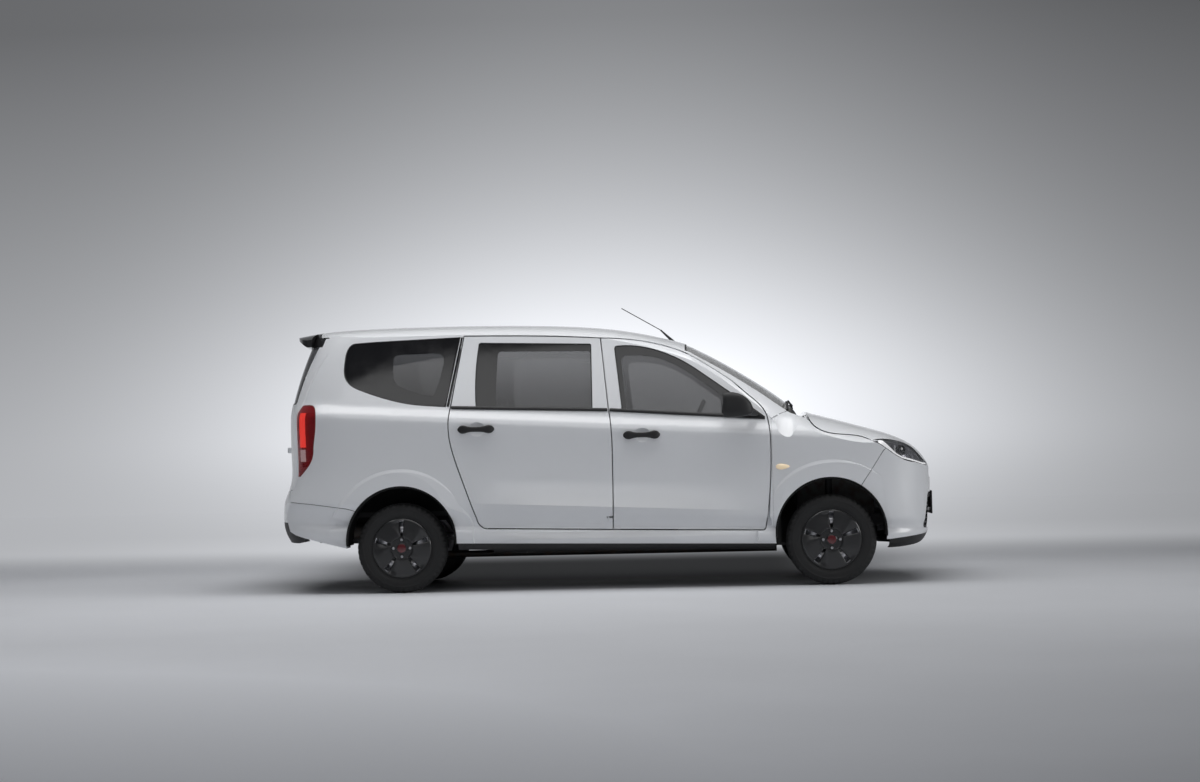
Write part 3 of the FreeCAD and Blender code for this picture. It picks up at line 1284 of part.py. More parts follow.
doc.recompute()
faulty = [thing.Name for thing in doc.Objects if "Invalid" in thing.State or "Error" in thing.State]
faulty += [thing.Label for thing in NODES if thing.Shape.isNull() or not thing.Shape.isValid()]
if faulty:
    raise RuntimeError("these failed: " + ", ".join(faulty))
os.makedirs("parts", exist_ok=True)
for thing in NODES:
    thing.Shape.exportStep("parts/" + thing.Label + ".step")
    print(thing.Label, len(thing.Shape.Solids), "solids", round(thing.Shape.Volume / 1e6, 2), "litres")
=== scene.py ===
# %% [markdown]
# # A white compact minivan in a grey studio
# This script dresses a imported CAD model. The model gives the shapes, the sizes and the moving parts. Here
# each of them gets its finish, and what is too fine for the CAD is added: lamp insides, seals, wipers, tread,
# seat covers. Everything is in metres, +X is the van's front, +Y its left side and +Z is up.

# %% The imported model
import json
import math

import bmesh
import bpy
from mathutils import Matrix, Vector
from mathutils.bvhtree import BVHTree


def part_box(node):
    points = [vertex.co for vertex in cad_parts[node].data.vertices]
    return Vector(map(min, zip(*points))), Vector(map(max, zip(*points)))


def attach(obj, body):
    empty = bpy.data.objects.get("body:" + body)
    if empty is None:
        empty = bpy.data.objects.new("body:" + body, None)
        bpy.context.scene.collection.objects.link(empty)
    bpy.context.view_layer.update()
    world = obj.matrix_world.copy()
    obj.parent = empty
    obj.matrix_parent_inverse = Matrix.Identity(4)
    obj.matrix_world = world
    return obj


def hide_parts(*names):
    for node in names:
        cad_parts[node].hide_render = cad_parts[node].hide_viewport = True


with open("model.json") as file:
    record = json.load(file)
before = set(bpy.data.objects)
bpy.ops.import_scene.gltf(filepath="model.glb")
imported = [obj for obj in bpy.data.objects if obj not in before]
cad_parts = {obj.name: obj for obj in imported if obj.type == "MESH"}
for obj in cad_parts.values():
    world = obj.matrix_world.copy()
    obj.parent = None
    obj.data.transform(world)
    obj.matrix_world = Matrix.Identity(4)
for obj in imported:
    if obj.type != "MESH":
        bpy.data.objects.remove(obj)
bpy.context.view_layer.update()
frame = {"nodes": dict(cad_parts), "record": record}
nodes = frame["nodes"]
BODIES = frame["record"]["behaviour"]["bodies"]
body_of_node = {node: body for body, members in BODIES.items() for node in members}

# %% [markdown]
# Blender's materials are networks of nodes. Written out one by one they are hard to read, so a small class
# wraps a socket and lets ordinary arithmetic build the Math nodes. Any other node comes from one method,
# which takes its settings first and then the values or links of its sockets.

# %% Shader maths
class Value:
    """A number, colour or vector in a material's nodes."""

    def __init__(self, shader, socket):
        self.shader = shader
        self.socket = socket

    def math(self, operation, *others):
        return self.shader.node("Math", {"operation": operation}, dict(enumerate((self, *others))))

    def __add__(self, other):
        return self.math("ADD", other)

    def __sub__(self, other):
        return self.math("SUBTRACT", other)

    def __rsub__(self, other):
        return self.shader.node("Math", {"operation": "SUBTRACT"}, {0: other, 1: self})

    def __mul__(self, other):
        return self.math("MULTIPLY", other)

    def __truediv__(self, other):
        return self.math("DIVIDE", other)

    def __pow__(self, other):
        return self.math("POWER", other)

    __radd__ = __add__
    __rmul__ = __mul__

    def size(self):
        return self.math("ABSOLUTE")

    def high(self, other):
        return self.math("MAXIMUM", other)

    def low(self, other):
        return self.math("MINIMUM", other)

    def ramp(self, start, stop):
        """0 below start and 1 above stop, smooth between them."""
        settings = {"interpolation_type": "SMOOTHSTEP"}
        return self.shader.node("MapRange", settings, {"Value": self, "From Min": start, "From Max": stop})


class Shader:
    """A material with a principled shader at its end."""

    def __init__(self, name):
        self.material = bpy.data.materials.new(name)
        self.material.use_nodes = True
        self.tree = self.material.node_tree
        self.end = self.tree.nodes["Principled BSDF"]

    def node(self, kind, settings=None, sockets=None, output=0):
        made = self.tree.nodes.new("ShaderNode" + kind)
        for name, value in (settings or {}).items():
            setattr(made, name, value)
        for name, value in (sockets or {}).items():
            self.connect(made.inputs[name], value)
        return Value(self, made.outputs[output])

    def connect(self, socket, value):
        if isinstance(value, Value):
            self.tree.links.new(value.socket, socket)
        elif socket.type == "RGBA" and len(value) == 3:
            socket.default_value = (*value, 1)
        else:
            socket.default_value = value

    def sets(self, sockets):
        for name, value in sockets.items():
            self.connect(self.end.inputs[name], value)

    def place(self):
        """The point's X, Y and Z in metres."""
        point = self.node("TexCoord", output="Object")
        return [self.node("SeparateXYZ", sockets={0: point}, output=i) for i in range(3)]

    def noise(self, scale, detail=2.0, stretch=(1, 1, 1)):
        point = self.node("TexCoord", output="Object")
        point = self.node("Mapping", sockets={"Vector": point, "Scale": stretch})
        sockets = {"Vector": point, "Scale": scale, "Detail": detail}
        return self.node("TexNoise", sockets=sockets, output="Fac")

    def mix(self, share, one, other):
        """A colour between two, by share."""
        return self.node("MixRGB", sockets={"Fac": share, "Color1": one, "Color2": other})

    def bump(self, height, depth, strength=1.0):
        """A normal from a height map. depth is the height's full range in metres."""
        return self.node("Bump", sockets={"Strength": strength, "Distance": depth, "Height": height})


# %% [markdown]
# ## Finishes
# Car paint is a coloured coat under clear lacquer. The lacquer mirrors the studio sharply, the colour below
# it spreads the light, and a faint ripple, orange peel, keeps the mirror from looking like glass. Road dust
# gathers low on the sides, where it dulls both.

# %% Paint
CREASE_SOFT, CREASE_TILT, UNDER_TILT, STEP_TILT = 0.18, 0.75, 0.20, 0.80


def pressing(x, z):
    """How far the pressed line of the doors and the step of the sill stand out, in metres."""
    drop = z - (0.545 - x * 0.045)
    rise = ((CREASE_SOFT - drop) / CREASE_SOFT).high(0).low(1)
    crease = rise * rise * (CREASE_SOFT * CREASE_TILT / 2) - (0 - drop).high(0).low(0.11) * UNDER_TILT
    step = (0.385 - z).high(0).low(0.045) * STEP_TILT
    ends = x.ramp(-0.95, -0.45) * (1 - x.ramp(0.45, 1.05))
    return (crease + step) * ends


def paint(name, colour, dust=0.10):
    shader = Shader(name)
    along, _, height = shader.place()
    cloud = shader.noise(3.0, 4)
    dirt = (1 - height.ramp(0.22, 0.62)) * cloud.ramp(0.25, 0.8) * dust
    shade = shader.mix(cloud.ramp(0.2, 0.8) * 0.06, colour, [c * 0.9 for c in colour])
    shader.sets({
        "Base Color": shader.mix(dirt, shade, (0.32, 0.30, 0.27)),
        "Roughness": 0.34 + dirt * 0.5,
        "Coat Weight": 1 - dirt,
        "Coat Roughness": 0.12,
        "Coat IOR": 1.5,
        "Normal": shader.bump(pressing(along, height) + shader.noise(420, 2) * 0.000024, 1.0, 1.0),
    })
    return shader.material


WHITE = (0.80, 0.815, 0.84)
white_paint = paint("white_paint", WHITE)
print("paint:", white_paint.name)

# %% [markdown]
# Unpainted plastic has a moulded grain that scatters its reflection. Two noises do it, one for the fine
# grain and one for the slow changes of sheen that handling and weather leave.

# %% Plastics and rubber
def plastic(name, colour, roughness=0.5, grain=700, depth=0.0002, coat=0.0):
    shader = Shader(name)
    wear = shader.noise(9, 3).ramp(0.3, 0.75)
    shader.sets({
        "Base Color": shader.mix(wear * 0.35, colour, [c * 1.35 + 0.004 for c in colour]),
        "Roughness": roughness + wear * 0.10 - 0.05,
        "Coat Weight": coat,
        "Coat Roughness": 0.08,
        "Normal": shader.bump(shader.noise(grain, 3), depth, 0.5),
    })
    return shader.material


black_plastic = plastic("black_plastic", (0.012, 0.012, 0.013), 0.52)
gloss_black = plastic("gloss_black", (0.008, 0.008, 0.009), 0.25, 300, 0.00005, 0.6)
seal_rubber = plastic("seal_rubber", (0.010, 0.010, 0.011), 0.62, 1200, 0.0001)
cabin_plastic = plastic("cabin_plastic", (0.035, 0.035, 0.038), 0.6, 500, 0.0003)
lamp_bezel = plastic("lamp_bezel", (0.05, 0.05, 0.058), 0.3, 900, 0.00005, 0.3)
liner_felt = plastic("liner_felt", (0.006, 0.006, 0.006), 0.95, 260, 0.0012)
plate_blank = plastic("plate_blank", (0.72, 0.73, 0.74), 0.38, 500, 0.00005, 0.4)
under_paint = plastic("under_paint", (0.014, 0.014, 0.015), 0.55, 150, 0.0004)

# %% [markdown]
# Bare metal takes its colour from what it mirrors, so it needs Metallic 1 and a varied roughness. Castings
# are rough and a little rusty, bright parts are nearly smooth.

# %% Metals
def metal(name, colour, roughness, rust=0.0, grain=120):
    shader = Shader(name)
    patch = shader.noise(22, 5).ramp(0.42, 0.72)
    shader.sets({
        "Base Color": shader.mix(patch * rust, colour, (0.16, 0.075, 0.035)),
        "Metallic": 1 - patch * rust,
        "Roughness": roughness + patch * 0.18,
        "Normal": shader.bump(shader.noise(grain, 3), 0.0004, 0.35),
    })
    return shader.material


bright_metal = metal("bright_metal", (0.72, 0.72, 0.73), 0.14)
silver_steel = metal("silver_steel", (0.55, 0.55, 0.57), 0.32)
cast_metal = metal("cast_metal", (0.20, 0.195, 0.19), 0.6, 0.35)
exhaust_metal = metal("exhaust_metal", (0.10, 0.095, 0.09), 0.5, 0.3)
mirror_glass = metal("mirror_glass", (0.85, 0.87, 0.88), 0.03, 0, 5)

# %% [markdown]
# Window glass mirrors the studio and lets the cabin and the far windows through, so it is a smooth tinted
# film that is partly see-through. Light that has crossed two panes comes out dark grey, as in tinted cars.
# A painted reflection also makes each pane's colour paler towards its top.

# %% Glass
def glass(name, node, tint, opacity, painted_reflection):
    """The last argument is how much paler the pane's colour is painted at its foot than at its top, or the
    other way if negative: a painted reflection.
    """
    shader = Shader(name)
    height = shader.place()[2]
    low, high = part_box(node)
    rise = height.ramp(low.z, high.z)
    # Painted reflection: the pane's colour is painted paler towards one end, by height.
    painted_reflection_share = (rise if painted_reflection < 0 else 1 - rise) * abs(painted_reflection)
    streaks = shader.noise(2.2, 3, (1, 1, 0.4)).ramp(0.35, 0.8)
    shader.sets({
        "Base Color": shader.mix(painted_reflection_share, tint, (0.42, 0.43, 0.45)),
        "Roughness": 0.02 + streaks * 0.01,
        "IOR": 1.52,
        "Specular IOR Level": 0.8,
        "Alpha": opacity + streaks * 0.04,
    })
    return shader.material


# Each look: tint, opacity, and the painted reflection, how much paler the pane is painted at its foot, at its
# top if negative.
glass_looks = {
    "windscreen": ((0.20, 0.20, 0.19), 0.42, -0.2),
    "window_front": ((0.05, 0.05, 0.055), 0.52, -0.35),
    "window_rear": ((0.05, 0.05, 0.055), 0.60, -0.55),
    "quarter_windows": ((0.03, 0.03, 0.032), 0.66, -0.3),
    "tailgate_window": ((0.03, 0.03, 0.032), 0.80, -0.3),
}
for node, obj in nodes.items():
    for word, (tint, opacity, painted_reflection) in glass_looks.items():
        if node.startswith(word):
            obj.data.materials.clear()
            obj.data.materials.append(glass("glass_" + node, node, tint, opacity, painted_reflection))
            print("glazed", node)

# %% [markdown]
# ## Finishes of the CAD nodes
# Most CAD shapes stay as they are, and only get their finish. One table says which.

# %% Dress the nodes
finishes = {
    white_paint: ["roof_panel", "body_side", "fender", "door_front", "door_rear", "bonnet",
                  "front_bumper", "rear_bumper", "tailgate"],
    black_plastic: ["lower_trims", "grille", "cowl", "antenna", "mirror_and_handle", "rear_handle"],
    cabin_plastic: ["dashboard", "steering_wheel", "front_seats", "rear_seats"],
    liner_felt: ["wheel_housings"],
    under_paint: ["floor_frame", "front_suspension", "rear_axle", "rear_springs", "rim"],
    cast_metal: ["engine", "knuckle"],
    exhaust_metal: ["exhaust"],
    silver_steel: ["steering_rack"],
    plate_blank: ["front_plate", "rear_plate"],
    seal_rubber: ["tyre"],
    lamp_bezel: ["headlamps", "tail_lamps"],
}
for material, words in finishes.items():
    for node, obj in nodes.items():
        if node in words or any(node.startswith(word + "_") and "window" not in node for word in words):
            obj.data.materials.clear()
            obj.data.materials.append(material)
print("dressed", sum(len(words) for words in finishes.values()), "kinds of node")

# %% [markdown]
# ## Tools for fine parts
# Most fine parts are skins through rows of points: a tube is a row of rings, a bead is one small profile
# carried along a line, a tyre is one profile turned about its axle. One function joins rows of points into
# faces. Rays cast at the CAD panels tell where a part has to sit, so nothing floats or sinks in.

# %% Rows of points become skins
SIDES = {"right": -1, "left": 1}
VIEW_SHIFT = 0.0255


def measured(points):
    """Points read in the side view in millimetres, as the model's X and Z in metres."""
    return [(x / 1000 - VIEW_SHIFT, z / 1000) for x, z in points]


def piece(name, points, faces, material, body, sharp=35):
    mesh = bpy.data.meshes.new(name)
    mesh.from_pydata([tuple(point) for point in points], [], faces)
    form = bmesh.new()
    form.from_mesh(mesh)
    bmesh.ops.recalc_face_normals(form, faces=form.faces)
    form.to_mesh(mesh)
    form.free()
    mesh.materials.append(material)
    mesh.shade_smooth()
    mesh.set_sharp_from_angle(angle=math.radians(sharp))
    obj = bpy.data.objects.new(name, mesh)
    bpy.context.scene.collection.objects.link(obj)
    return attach(obj, body)


def joined(rows, ring=False, loop=False, caps=False, skip=None):
    """Points and faces of a skin. ring closes each row, loop joins the last row to the first."""
    count = len(rows[0])
    points = [point for row in rows for point in row]
    faces = []
    for i in range(len(rows) if loop else len(rows) - 1):
        for j in range(count if ring else count - 1):
            if skip and skip(i, j):
                continue
            here, there = i * count, (i + 1) % len(rows) * count
            after = (j + 1) % count
            faces.append((here + j, here + after, there + after, there + j))
    if caps:
        last = (len(rows) - 1) * count
        faces += [tuple(range(count)), tuple(last + j for j in reversed(range(count)))]
    return points, faces


def grid(name, rows, material, body, sharp=35, **how):
    points, faces = joined(rows, **how)
    return piece(name, points, faces, material, body, sharp)


def tree_of(*names):
    """What a ray can hit of some CAD nodes."""
    points, faces = [], []
    for name in names:
        mesh = nodes[name].data
        start = len(points)
        points += [vertex.co.copy() for vertex in mesh.vertices]
        faces += [[start + i for i in polygon.vertices] for polygon in mesh.polygons]
    return BVHTree.FromPolygons(points, faces)


def hit(tree, start, aim, proud=0.0):
    """Where a ray meets the skin, moved outward, and the skin's normal there."""
    for nudge in (0, 0.004, -0.004, 0.009, -0.009, 0.016, -0.016):
        point, normal, _, _ = tree.ray_cast(Vector(start) + Vector((0, 0, nudge)), Vector(aim))
        if point is not None:
            if normal.dot(Vector(aim)) > 0:
                normal = -normal
            return point - Vector((0, 0, nudge)) + normal * proud, normal
    raise ValueError(f"no skin seen from {tuple(start)}")


def on_side(tree, x, z, side, proud=0.0):
    return hit(tree, (x, side * 1.3, z), (0, -side, 0), proud)


def outermost(tree, x, z, side, proud=0.0):
    """The same, across thin gaps: the outermost of three places, one above and one below."""
    found = [on_side(tree, x, z + shift, side, proud) for shift in (0, 0.009, -0.009)]
    point, normal = max(found, key=lambda pair: pair[0].y * side)
    return Vector((point.x, point.y, found[0][0].z)), normal


flanks = {}
for name, side in SIDES.items():
    panels = [f"{word}_{name}" for word in ("body_side", "fender", "door_front", "door_rear")]
    panes = [f"{word}_{name}" for word in ("window_front", "window_rear")]
    flanks[side] = tree_of(*panels, *panes, "quarter_windows", "front_bumper", "headlamps", "tail_lamps")
print("skins to place parts on:", len(flanks))

# %% [markdown]
# A rubber bead follows the edge of every pane. Its line is the edge of the pane's outer face, walked point by
# point. A small rounded profile is carried along it.

# %% Beads round the glass
def outline_of(node, outward, keep=lambda point: True):
    """The closed edge of the faces that look outward, as evenly spaced points with their normals."""
    form = bmesh.new()
    form.from_mesh(nodes[node].data)
    bmesh.ops.remove_doubles(form, verts=form.verts, dist=1e-5)
    form.normal_update()
    facing = {face for face in form.faces
              if face.normal.dot(outward) > 0.3 and keep(face.calc_center_median())}
    edges = [edge for edge in form.edges if sum(face in facing for face in edge.link_faces) == 1]
    nearby = {}
    for edge in edges:
        for vertex in edge.verts:
            nearby.setdefault(vertex, []).append(edge.other_vert(vertex))
    start = here = max(nearby, key=lambda vertex: vertex.co.z)
    line, before = [], None
    while here is not None and (not line or here is not start):
        normal = sum((face.normal for face in here.link_faces if face in facing), Vector()).normalized()
        line.append((here.co.copy(), normal))
        following = [vertex for vertex in nearby[here] if vertex is not before]
        before, here = here, following[0] if following else None
    form.free()
    return line


def evenly(line, spacing):
    """The same closed line with its points that far apart."""
    lengths = [(line[(i + 1) % len(line)][0] - line[i][0]).length for i in range(len(line))]
    steps = max(8, round(sum(lengths) / spacing))
    points, i, passed = [], 0, 0.0
    for step in range(steps):
        goal = sum(lengths) * step / steps
        while passed + lengths[i] < goal:
            passed += lengths[i]
            i += 1
        share = (goal - passed) / max(lengths[i], 1e-9)
        (a, normal_a), (b, normal_b) = line[i], line[(i + 1) % len(line)]
        points.append((a.lerp(b, share), normal_a.lerp(normal_b, share).normalized()))
    return points


BEAD = [(-0.5, -0.6), (-0.5, 0.5), (-0.25, 1.0), (0.25, 1.0), (0.5, 0.5), (0.5, -0.6)]


def bead(name, line, material, body, width, height, closed=True):
    """A rounded profile along a line of points and normals."""
    rows = []
    for i, (point, normal) in enumerate(line):
        ahead = line[(i + 1) % len(line)] if closed else line[min(i + 1, len(line) - 1)]
        behind = line[i - 1] if closed else line[max(i - 1, 0)]
        across = normal.cross(ahead[0] - behind[0]).normalized()
        rows.append([point + across * (u * width) + normal * (v * height) for u, v in BEAD])
    return grid(name, rows, material, body, 50, ring=True, loop=closed, caps=not closed)


for node in [name for name in nodes if name.startswith("window_")]:
    outward = Vector((0, SIDES[node.split("_")[-1]], 0))
    edge = evenly(outline_of(node, outward), 0.012)
    bead("seal_" + node, edge, seal_rubber, body_of_node[node], 0.012, 0.004)
for name, side in SIDES.items():
    line = outline_of("quarter_windows", Vector((0, side, 0)), lambda point: point.y * side > 0)
    bead("seal_quarter_" + name, evenly(line, 0.012), seal_rubber, "root", 0.012, 0.004)
screen_edge = evenly(outline_of("windscreen", Vector((0.6, 0, 0.8))), 0.015)
bead("seal_windscreen", screen_edge, seal_rubber, "root", 0.016, 0.004)
line = outline_of("tailgate_window", Vector((-1, 0, 0.2)))
bead("seal_tailgate", evenly(line, 0.015), seal_rubber, "tailgate", 0.014, 0.004)

# %% [markdown]
# Along the foot of the side windows runs a black strip on each door. It is a bead too, but on an open
# line that rays put on the door's skin. The corner before the front window is a black plate that carries
# the mirror.

# %% Belt strips and mirror bases
def skin_line(side, start, stop, count, proud=0.0):
    """Points on the side's skin along a straight line of the side view."""
    points = []
    for i in range(count):
        share = i / (count - 1)
        x, z = [a + (b - a) * share for a, b in zip(start, stop)]
        points.append(outermost(flanks[side], x, z, side, proud))
    return points


def inside_of(polygon, centre, angle):
    """How far a ray from the centre goes until it leaves the polygon."""
    aim = Vector((math.cos(angle), math.sin(angle)))
    reach = 0.0
    for i, corner in enumerate(polygon):
        a, b = Vector(corner) - centre, Vector(polygon[(i + 1) % len(polygon)]) - centre
        side = b - a
        turn = aim.cross(side)
        if abs(turn) > 1e-9 and 0 <= a.cross(aim) / turn <= 1:
            reach = max(reach, a.cross(side) / turn)
    return reach


def frit(name, node, side, clear, body):
    """The black print of a pane, from its edge to its clear part. Both are met by rays from the middle."""
    pane = tree_of(node)
    edge = evenly(outline_of(node, Vector((0, side, 0)), lambda point: point.y * side > 0), 0.012)
    centre = sum((Vector(corner) for corner in clear), Vector((0, 0))) / len(clear)
    rows = []
    for point, normal in edge:
        away = Vector((point.x, point.z)) - centre
        reach = min(away.length - 0.006, inside_of(clear, centre, math.atan2(away.y, away.x)))
        row = []
        for share in (0.0, 0.25, 0.5, 0.75, 1.0):
            place = centre + away.normalized() * (away.length - 0.004 + (reach - away.length + 0.004) * share)
            row.append(on_side(pane, place.x, place.y, side, 0.0009)[0])
        rows.append(row)
    return grid(name, rows, glass_print, body, 60, loop=True)


glass_print = plastic("glass_print", (0.005, 0.005, 0.006), 0.12, 60, 0.00002, 0.5)
CLEAR = {
    "window_front": [
        (0.118, 1.500), (0.122, 1.528), (0.140, 1.545), (0.200, 1.548), (0.238, 1.546), (0.353, 1.529),
        (0.467, 1.483), (0.595, 1.401), (0.708, 1.319), (0.840, 1.222), (1.02, 1.12), (0.90, 1.05),
        (0.148, 1.08), (0.146, 1.19),
    ],
    "window_rear": [
        (-0.708, 1.575), (-0.692, 1.592), (-0.10, 1.582), (-0.086, 1.570), (-0.072, 1.10), (-0.709, 1.10),
        (-0.712, 1.20), (-0.721, 1.327),
    ],
    "quarter_windows": [
        (-1.407, 1.560), (-1.395, 1.577), (-1.368, 1.585), (-1.142, 1.591), (-1.092, 1.586), (-1.072, 1.566),
        (-1.068, 1.523), (-1.096, 1.408), (-1.124, 1.332), (-1.137, 1.308), (-1.156, 1.303), (-1.235, 1.322),
        (-1.350, 1.364), (-1.390, 1.392), (-1.408, 1.440),
    ],
}
POST_COVER = measured([(-1040, 1228), (-1004, 1228)]), measured([(-948, 1694), (-911, 1694)])
for name, side in SIDES.items():
    frit("print_front_" + name, "window_front_" + name, side, CLEAR["window_front"], "door_front_" + name)
    frit("print_rear_" + name, "window_rear_" + name, side, CLEAR["window_rear"], "door_rear_" + name)
    frit("print_quarter_" + name, "quarter_windows", side, CLEAR["quarter_windows"], "root")
    rows = []
    for share in (i / 15 for i in range(16)):
        low, high = [Vector(a).lerp(Vector(b), share) for a, b in zip(*POST_COVER)]
        rows.append([on_side(flanks[side], *low.lerp(high, across), side, 0.003)[0]
                     for across in (0, 0.3, 0.7, 1)])
    grid("post_cover_" + name, rows, glass_print, "root", 60)
print("prints on the panes:", 3 * len(SIDES))

BELTS = {
    "door_rear": measured([(-990, 1223), (46, 1185)]),
    "door_front": measured([(62, 1184), (1086, 1110)]),
}
SAIL = [measured(pair) for pair in (
    [(928, 1124), (928, 1232)], [(960, 1122), (960, 1210)], [(1000, 1119), (1000, 1180)],
    [(1040, 1116), (1040, 1150)], [(1078, 1113), (1078, 1120)],
)]
for name, side in SIDES.items():
    for door, (start, stop) in BELTS.items():
        line = skin_line(side, start, stop, 40)
        bead(f"belt_{door}_{name}", line, black_plastic, f"{door}_{name}", 0.021, 0.007, False)
    rows = [[outermost(flanks[side], *low, side, 0.007)[0], outermost(flanks[side], *high, side, 0.007)[0]]
            for low, high in SAIL]
    sail = grid(f"mirror_base_{name}", rows, black_plastic, "door_front_" + name)
    thick = sail.modifiers.new("thickness", "SOLIDIFY")
    thick.thickness, thick.offset = 0.008, 0
print("belt strips on", len(BELTS) * 2, "doors")

# %% [markdown]
# ## Wheels
# A tyre is a lathe form: one profile turned about the axle. Its tread is cut by lowering some points of the
# profile at some of the steps round the wheel, which gives grooves, ribs and shoulder blocks in one mesh.

# %% Tyres
TYRE_STEPS = 288
HALF_TYRE = [
    (0.0725, 0.1890), (0.0785, 0.1955), (0.0805, 0.1985), (0.0812, 0.2040), (0.0845, 0.2150),
    (0.0850, 0.2156), (0.0856, 0.2170), (0.0868, 0.2320), (0.0872, 0.2450), (0.0862, 0.2560),
    (0.0868, 0.2570), (0.0860, 0.2585), (0.0836, 0.2700), (0.0800, 0.2795), (0.0752, 0.2868),
    (0.0690, 0.2925), (0.0600, 0.2960), (0.0460, 0.2970), (0.0450, 0.2895), (0.0360, 0.2895),
    (0.0350, 0.2976), (0.0250, 0.2978), (0.0150, 0.2979), (0.0140, 0.2900), (0.0050, 0.2900),
    (0.0040, 0.2979),
]


def tread_depth(across, radius, step):
    """How far the tread is cut at this place of the profile and this step round the tyre."""
    shoulder = 0.0500 < abs(across) < 0.0830 and radius > 0.275
    rib = 0.0145 < abs(across) < 0.0355 and radius > 0.29
    if shoulder and step % 6 < 2:
        return 0.0055
    if rib and (step + (3 if across > 0 else 0)) % 6 == 0:
        return 0.0030
    return 0.0


def turned(profile, centre, side, steps, cut=lambda across, radius, step: 0.0):
    """Rows of a profile of (distance out, radius) turned about a wheel's axle."""
    rows = []
    for step in range(steps):
        angle = math.tau * step / steps
        row = []
        for across, radius in profile:
            radius = radius - cut(across, radius, step)
            row.append(centre + Vector((radius * math.cos(angle), side * across, radius * math.sin(angle))))
        rows.append(row)
    return rows


WHEELS = {}
for end, x in (("front", 1.4795), ("rear", -1.3605)):
    for name, side in SIDES.items():
        WHEELS[f"{end}_{name}"] = (Vector((x, side * 0.7275, 0.298)), side)

tyre_rubber = plastic("tyre_rubber", (0.010, 0.010, 0.0105), 0.72, 900, 0.0002)
tyre_profile = HALF_TYRE + [(-across, radius) for across, radius in reversed(HALF_TYRE)]
for name, (centre, side) in WHEELS.items():
    rows = turned(tyre_profile, centre, side, TYRE_STEPS, tread_depth)
    tyre = grid("tread_" + name, rows, tyre_rubber, "wheel_" + name, 40, loop=True)
    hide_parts("tyre_" + name)
print("tyres of", len(tyre.data.polygons), "faces each")

# %% [markdown]
# The wheel cover is a moulded disc with five blades. It could be cut with booleans, but a polar grid keeps
# its edges clean: the angles follow the slots' edges, and the faces between two blades are left out. Each
# blade dips along one edge, which gives the fold that catches the light.

# %% Wheel covers
BLADES = 5
FIRST_SLOT = math.radians(90)
SLOT_IN, SLOT_OUT = 0.075, 0.184
SLOT_NARROW, SLOT_WIDE = 0.008, 0.016
COVER_SIDE = [
    (0.1940, 0.0800), (0.1935, 0.0832), (0.1900, 0.0862), (0.1840, 0.0876), (0.1700, 0.0884),
    (0.1550, 0.0892), (0.1400, 0.0900), (0.1250, 0.0908), (0.1100, 0.0916), (0.0950, 0.0922),
    (0.0850, 0.0926), (0.0780, 0.0926), (0.0750, 0.0920), (0.0715, 0.0862), (0.0690, 0.0850),
    (0.0500, 0.0850), (0.0350, 0.0850), (0.0338, 0.0862), (0.0325, 0.0935), (0.0305, 0.0952),
    (0.0300, 0.0940),
]
BLADE_STEPS = [0.0, 0.04, 0.12, 0.2, 0.26, 0.32, 0.45, 0.6, 0.75, 0.88, 0.96, 1.0]


def slot_half(radius):
    """Half the angle of a slot, whose sides are nearly parallel."""
    share = min(1, max(0, (radius - SLOT_IN) / (SLOT_OUT - SLOT_IN)))
    return math.atan((SLOT_NARROW + (SLOT_WIDE - SLOT_NARROW) * share) / max(radius, 0.03))


def fold(radius, share):
    """How far a blade dips towards its first edge, from the crease to that edge."""
    crease = 0.04 + 0.36 * min(1, max(0, (radius - 0.08) / 0.09))
    strength = min(1, max(0, (radius - 0.080) / 0.03)) * min(1, max(0, (0.192 - radius) / 0.02))
    return 0.012 * strength * max(0, 1 - share / crease)


def cover_rows(centre, side):
    rows, inside = [], []
    for radius, height in COVER_SIDE:
        row = []
        for blade in range(BLADES):
            start = FIRST_SLOT + math.tau * blade / BLADES + slot_half(radius)
            sweep = math.tau / BLADES - 2 * slot_half(radius)
            for share in BLADE_STEPS:
                angle = start + sweep * share
                out = height - fold(radius, share)
                row.append(centre + Vector((radius * math.cos(angle), side * out, radius * math.sin(angle))))
        rows.append(row)
    return rows


def in_slot(i, j):
    between = j % len(BLADE_STEPS) == len(BLADE_STEPS) - 1
    outer_r, inner_r = COVER_SIDE[i][0], COVER_SIDE[i + 1][0]
    return between and outer_r <= SLOT_OUT + 1e-6 and inner_r >= SLOT_IN - 1e-6


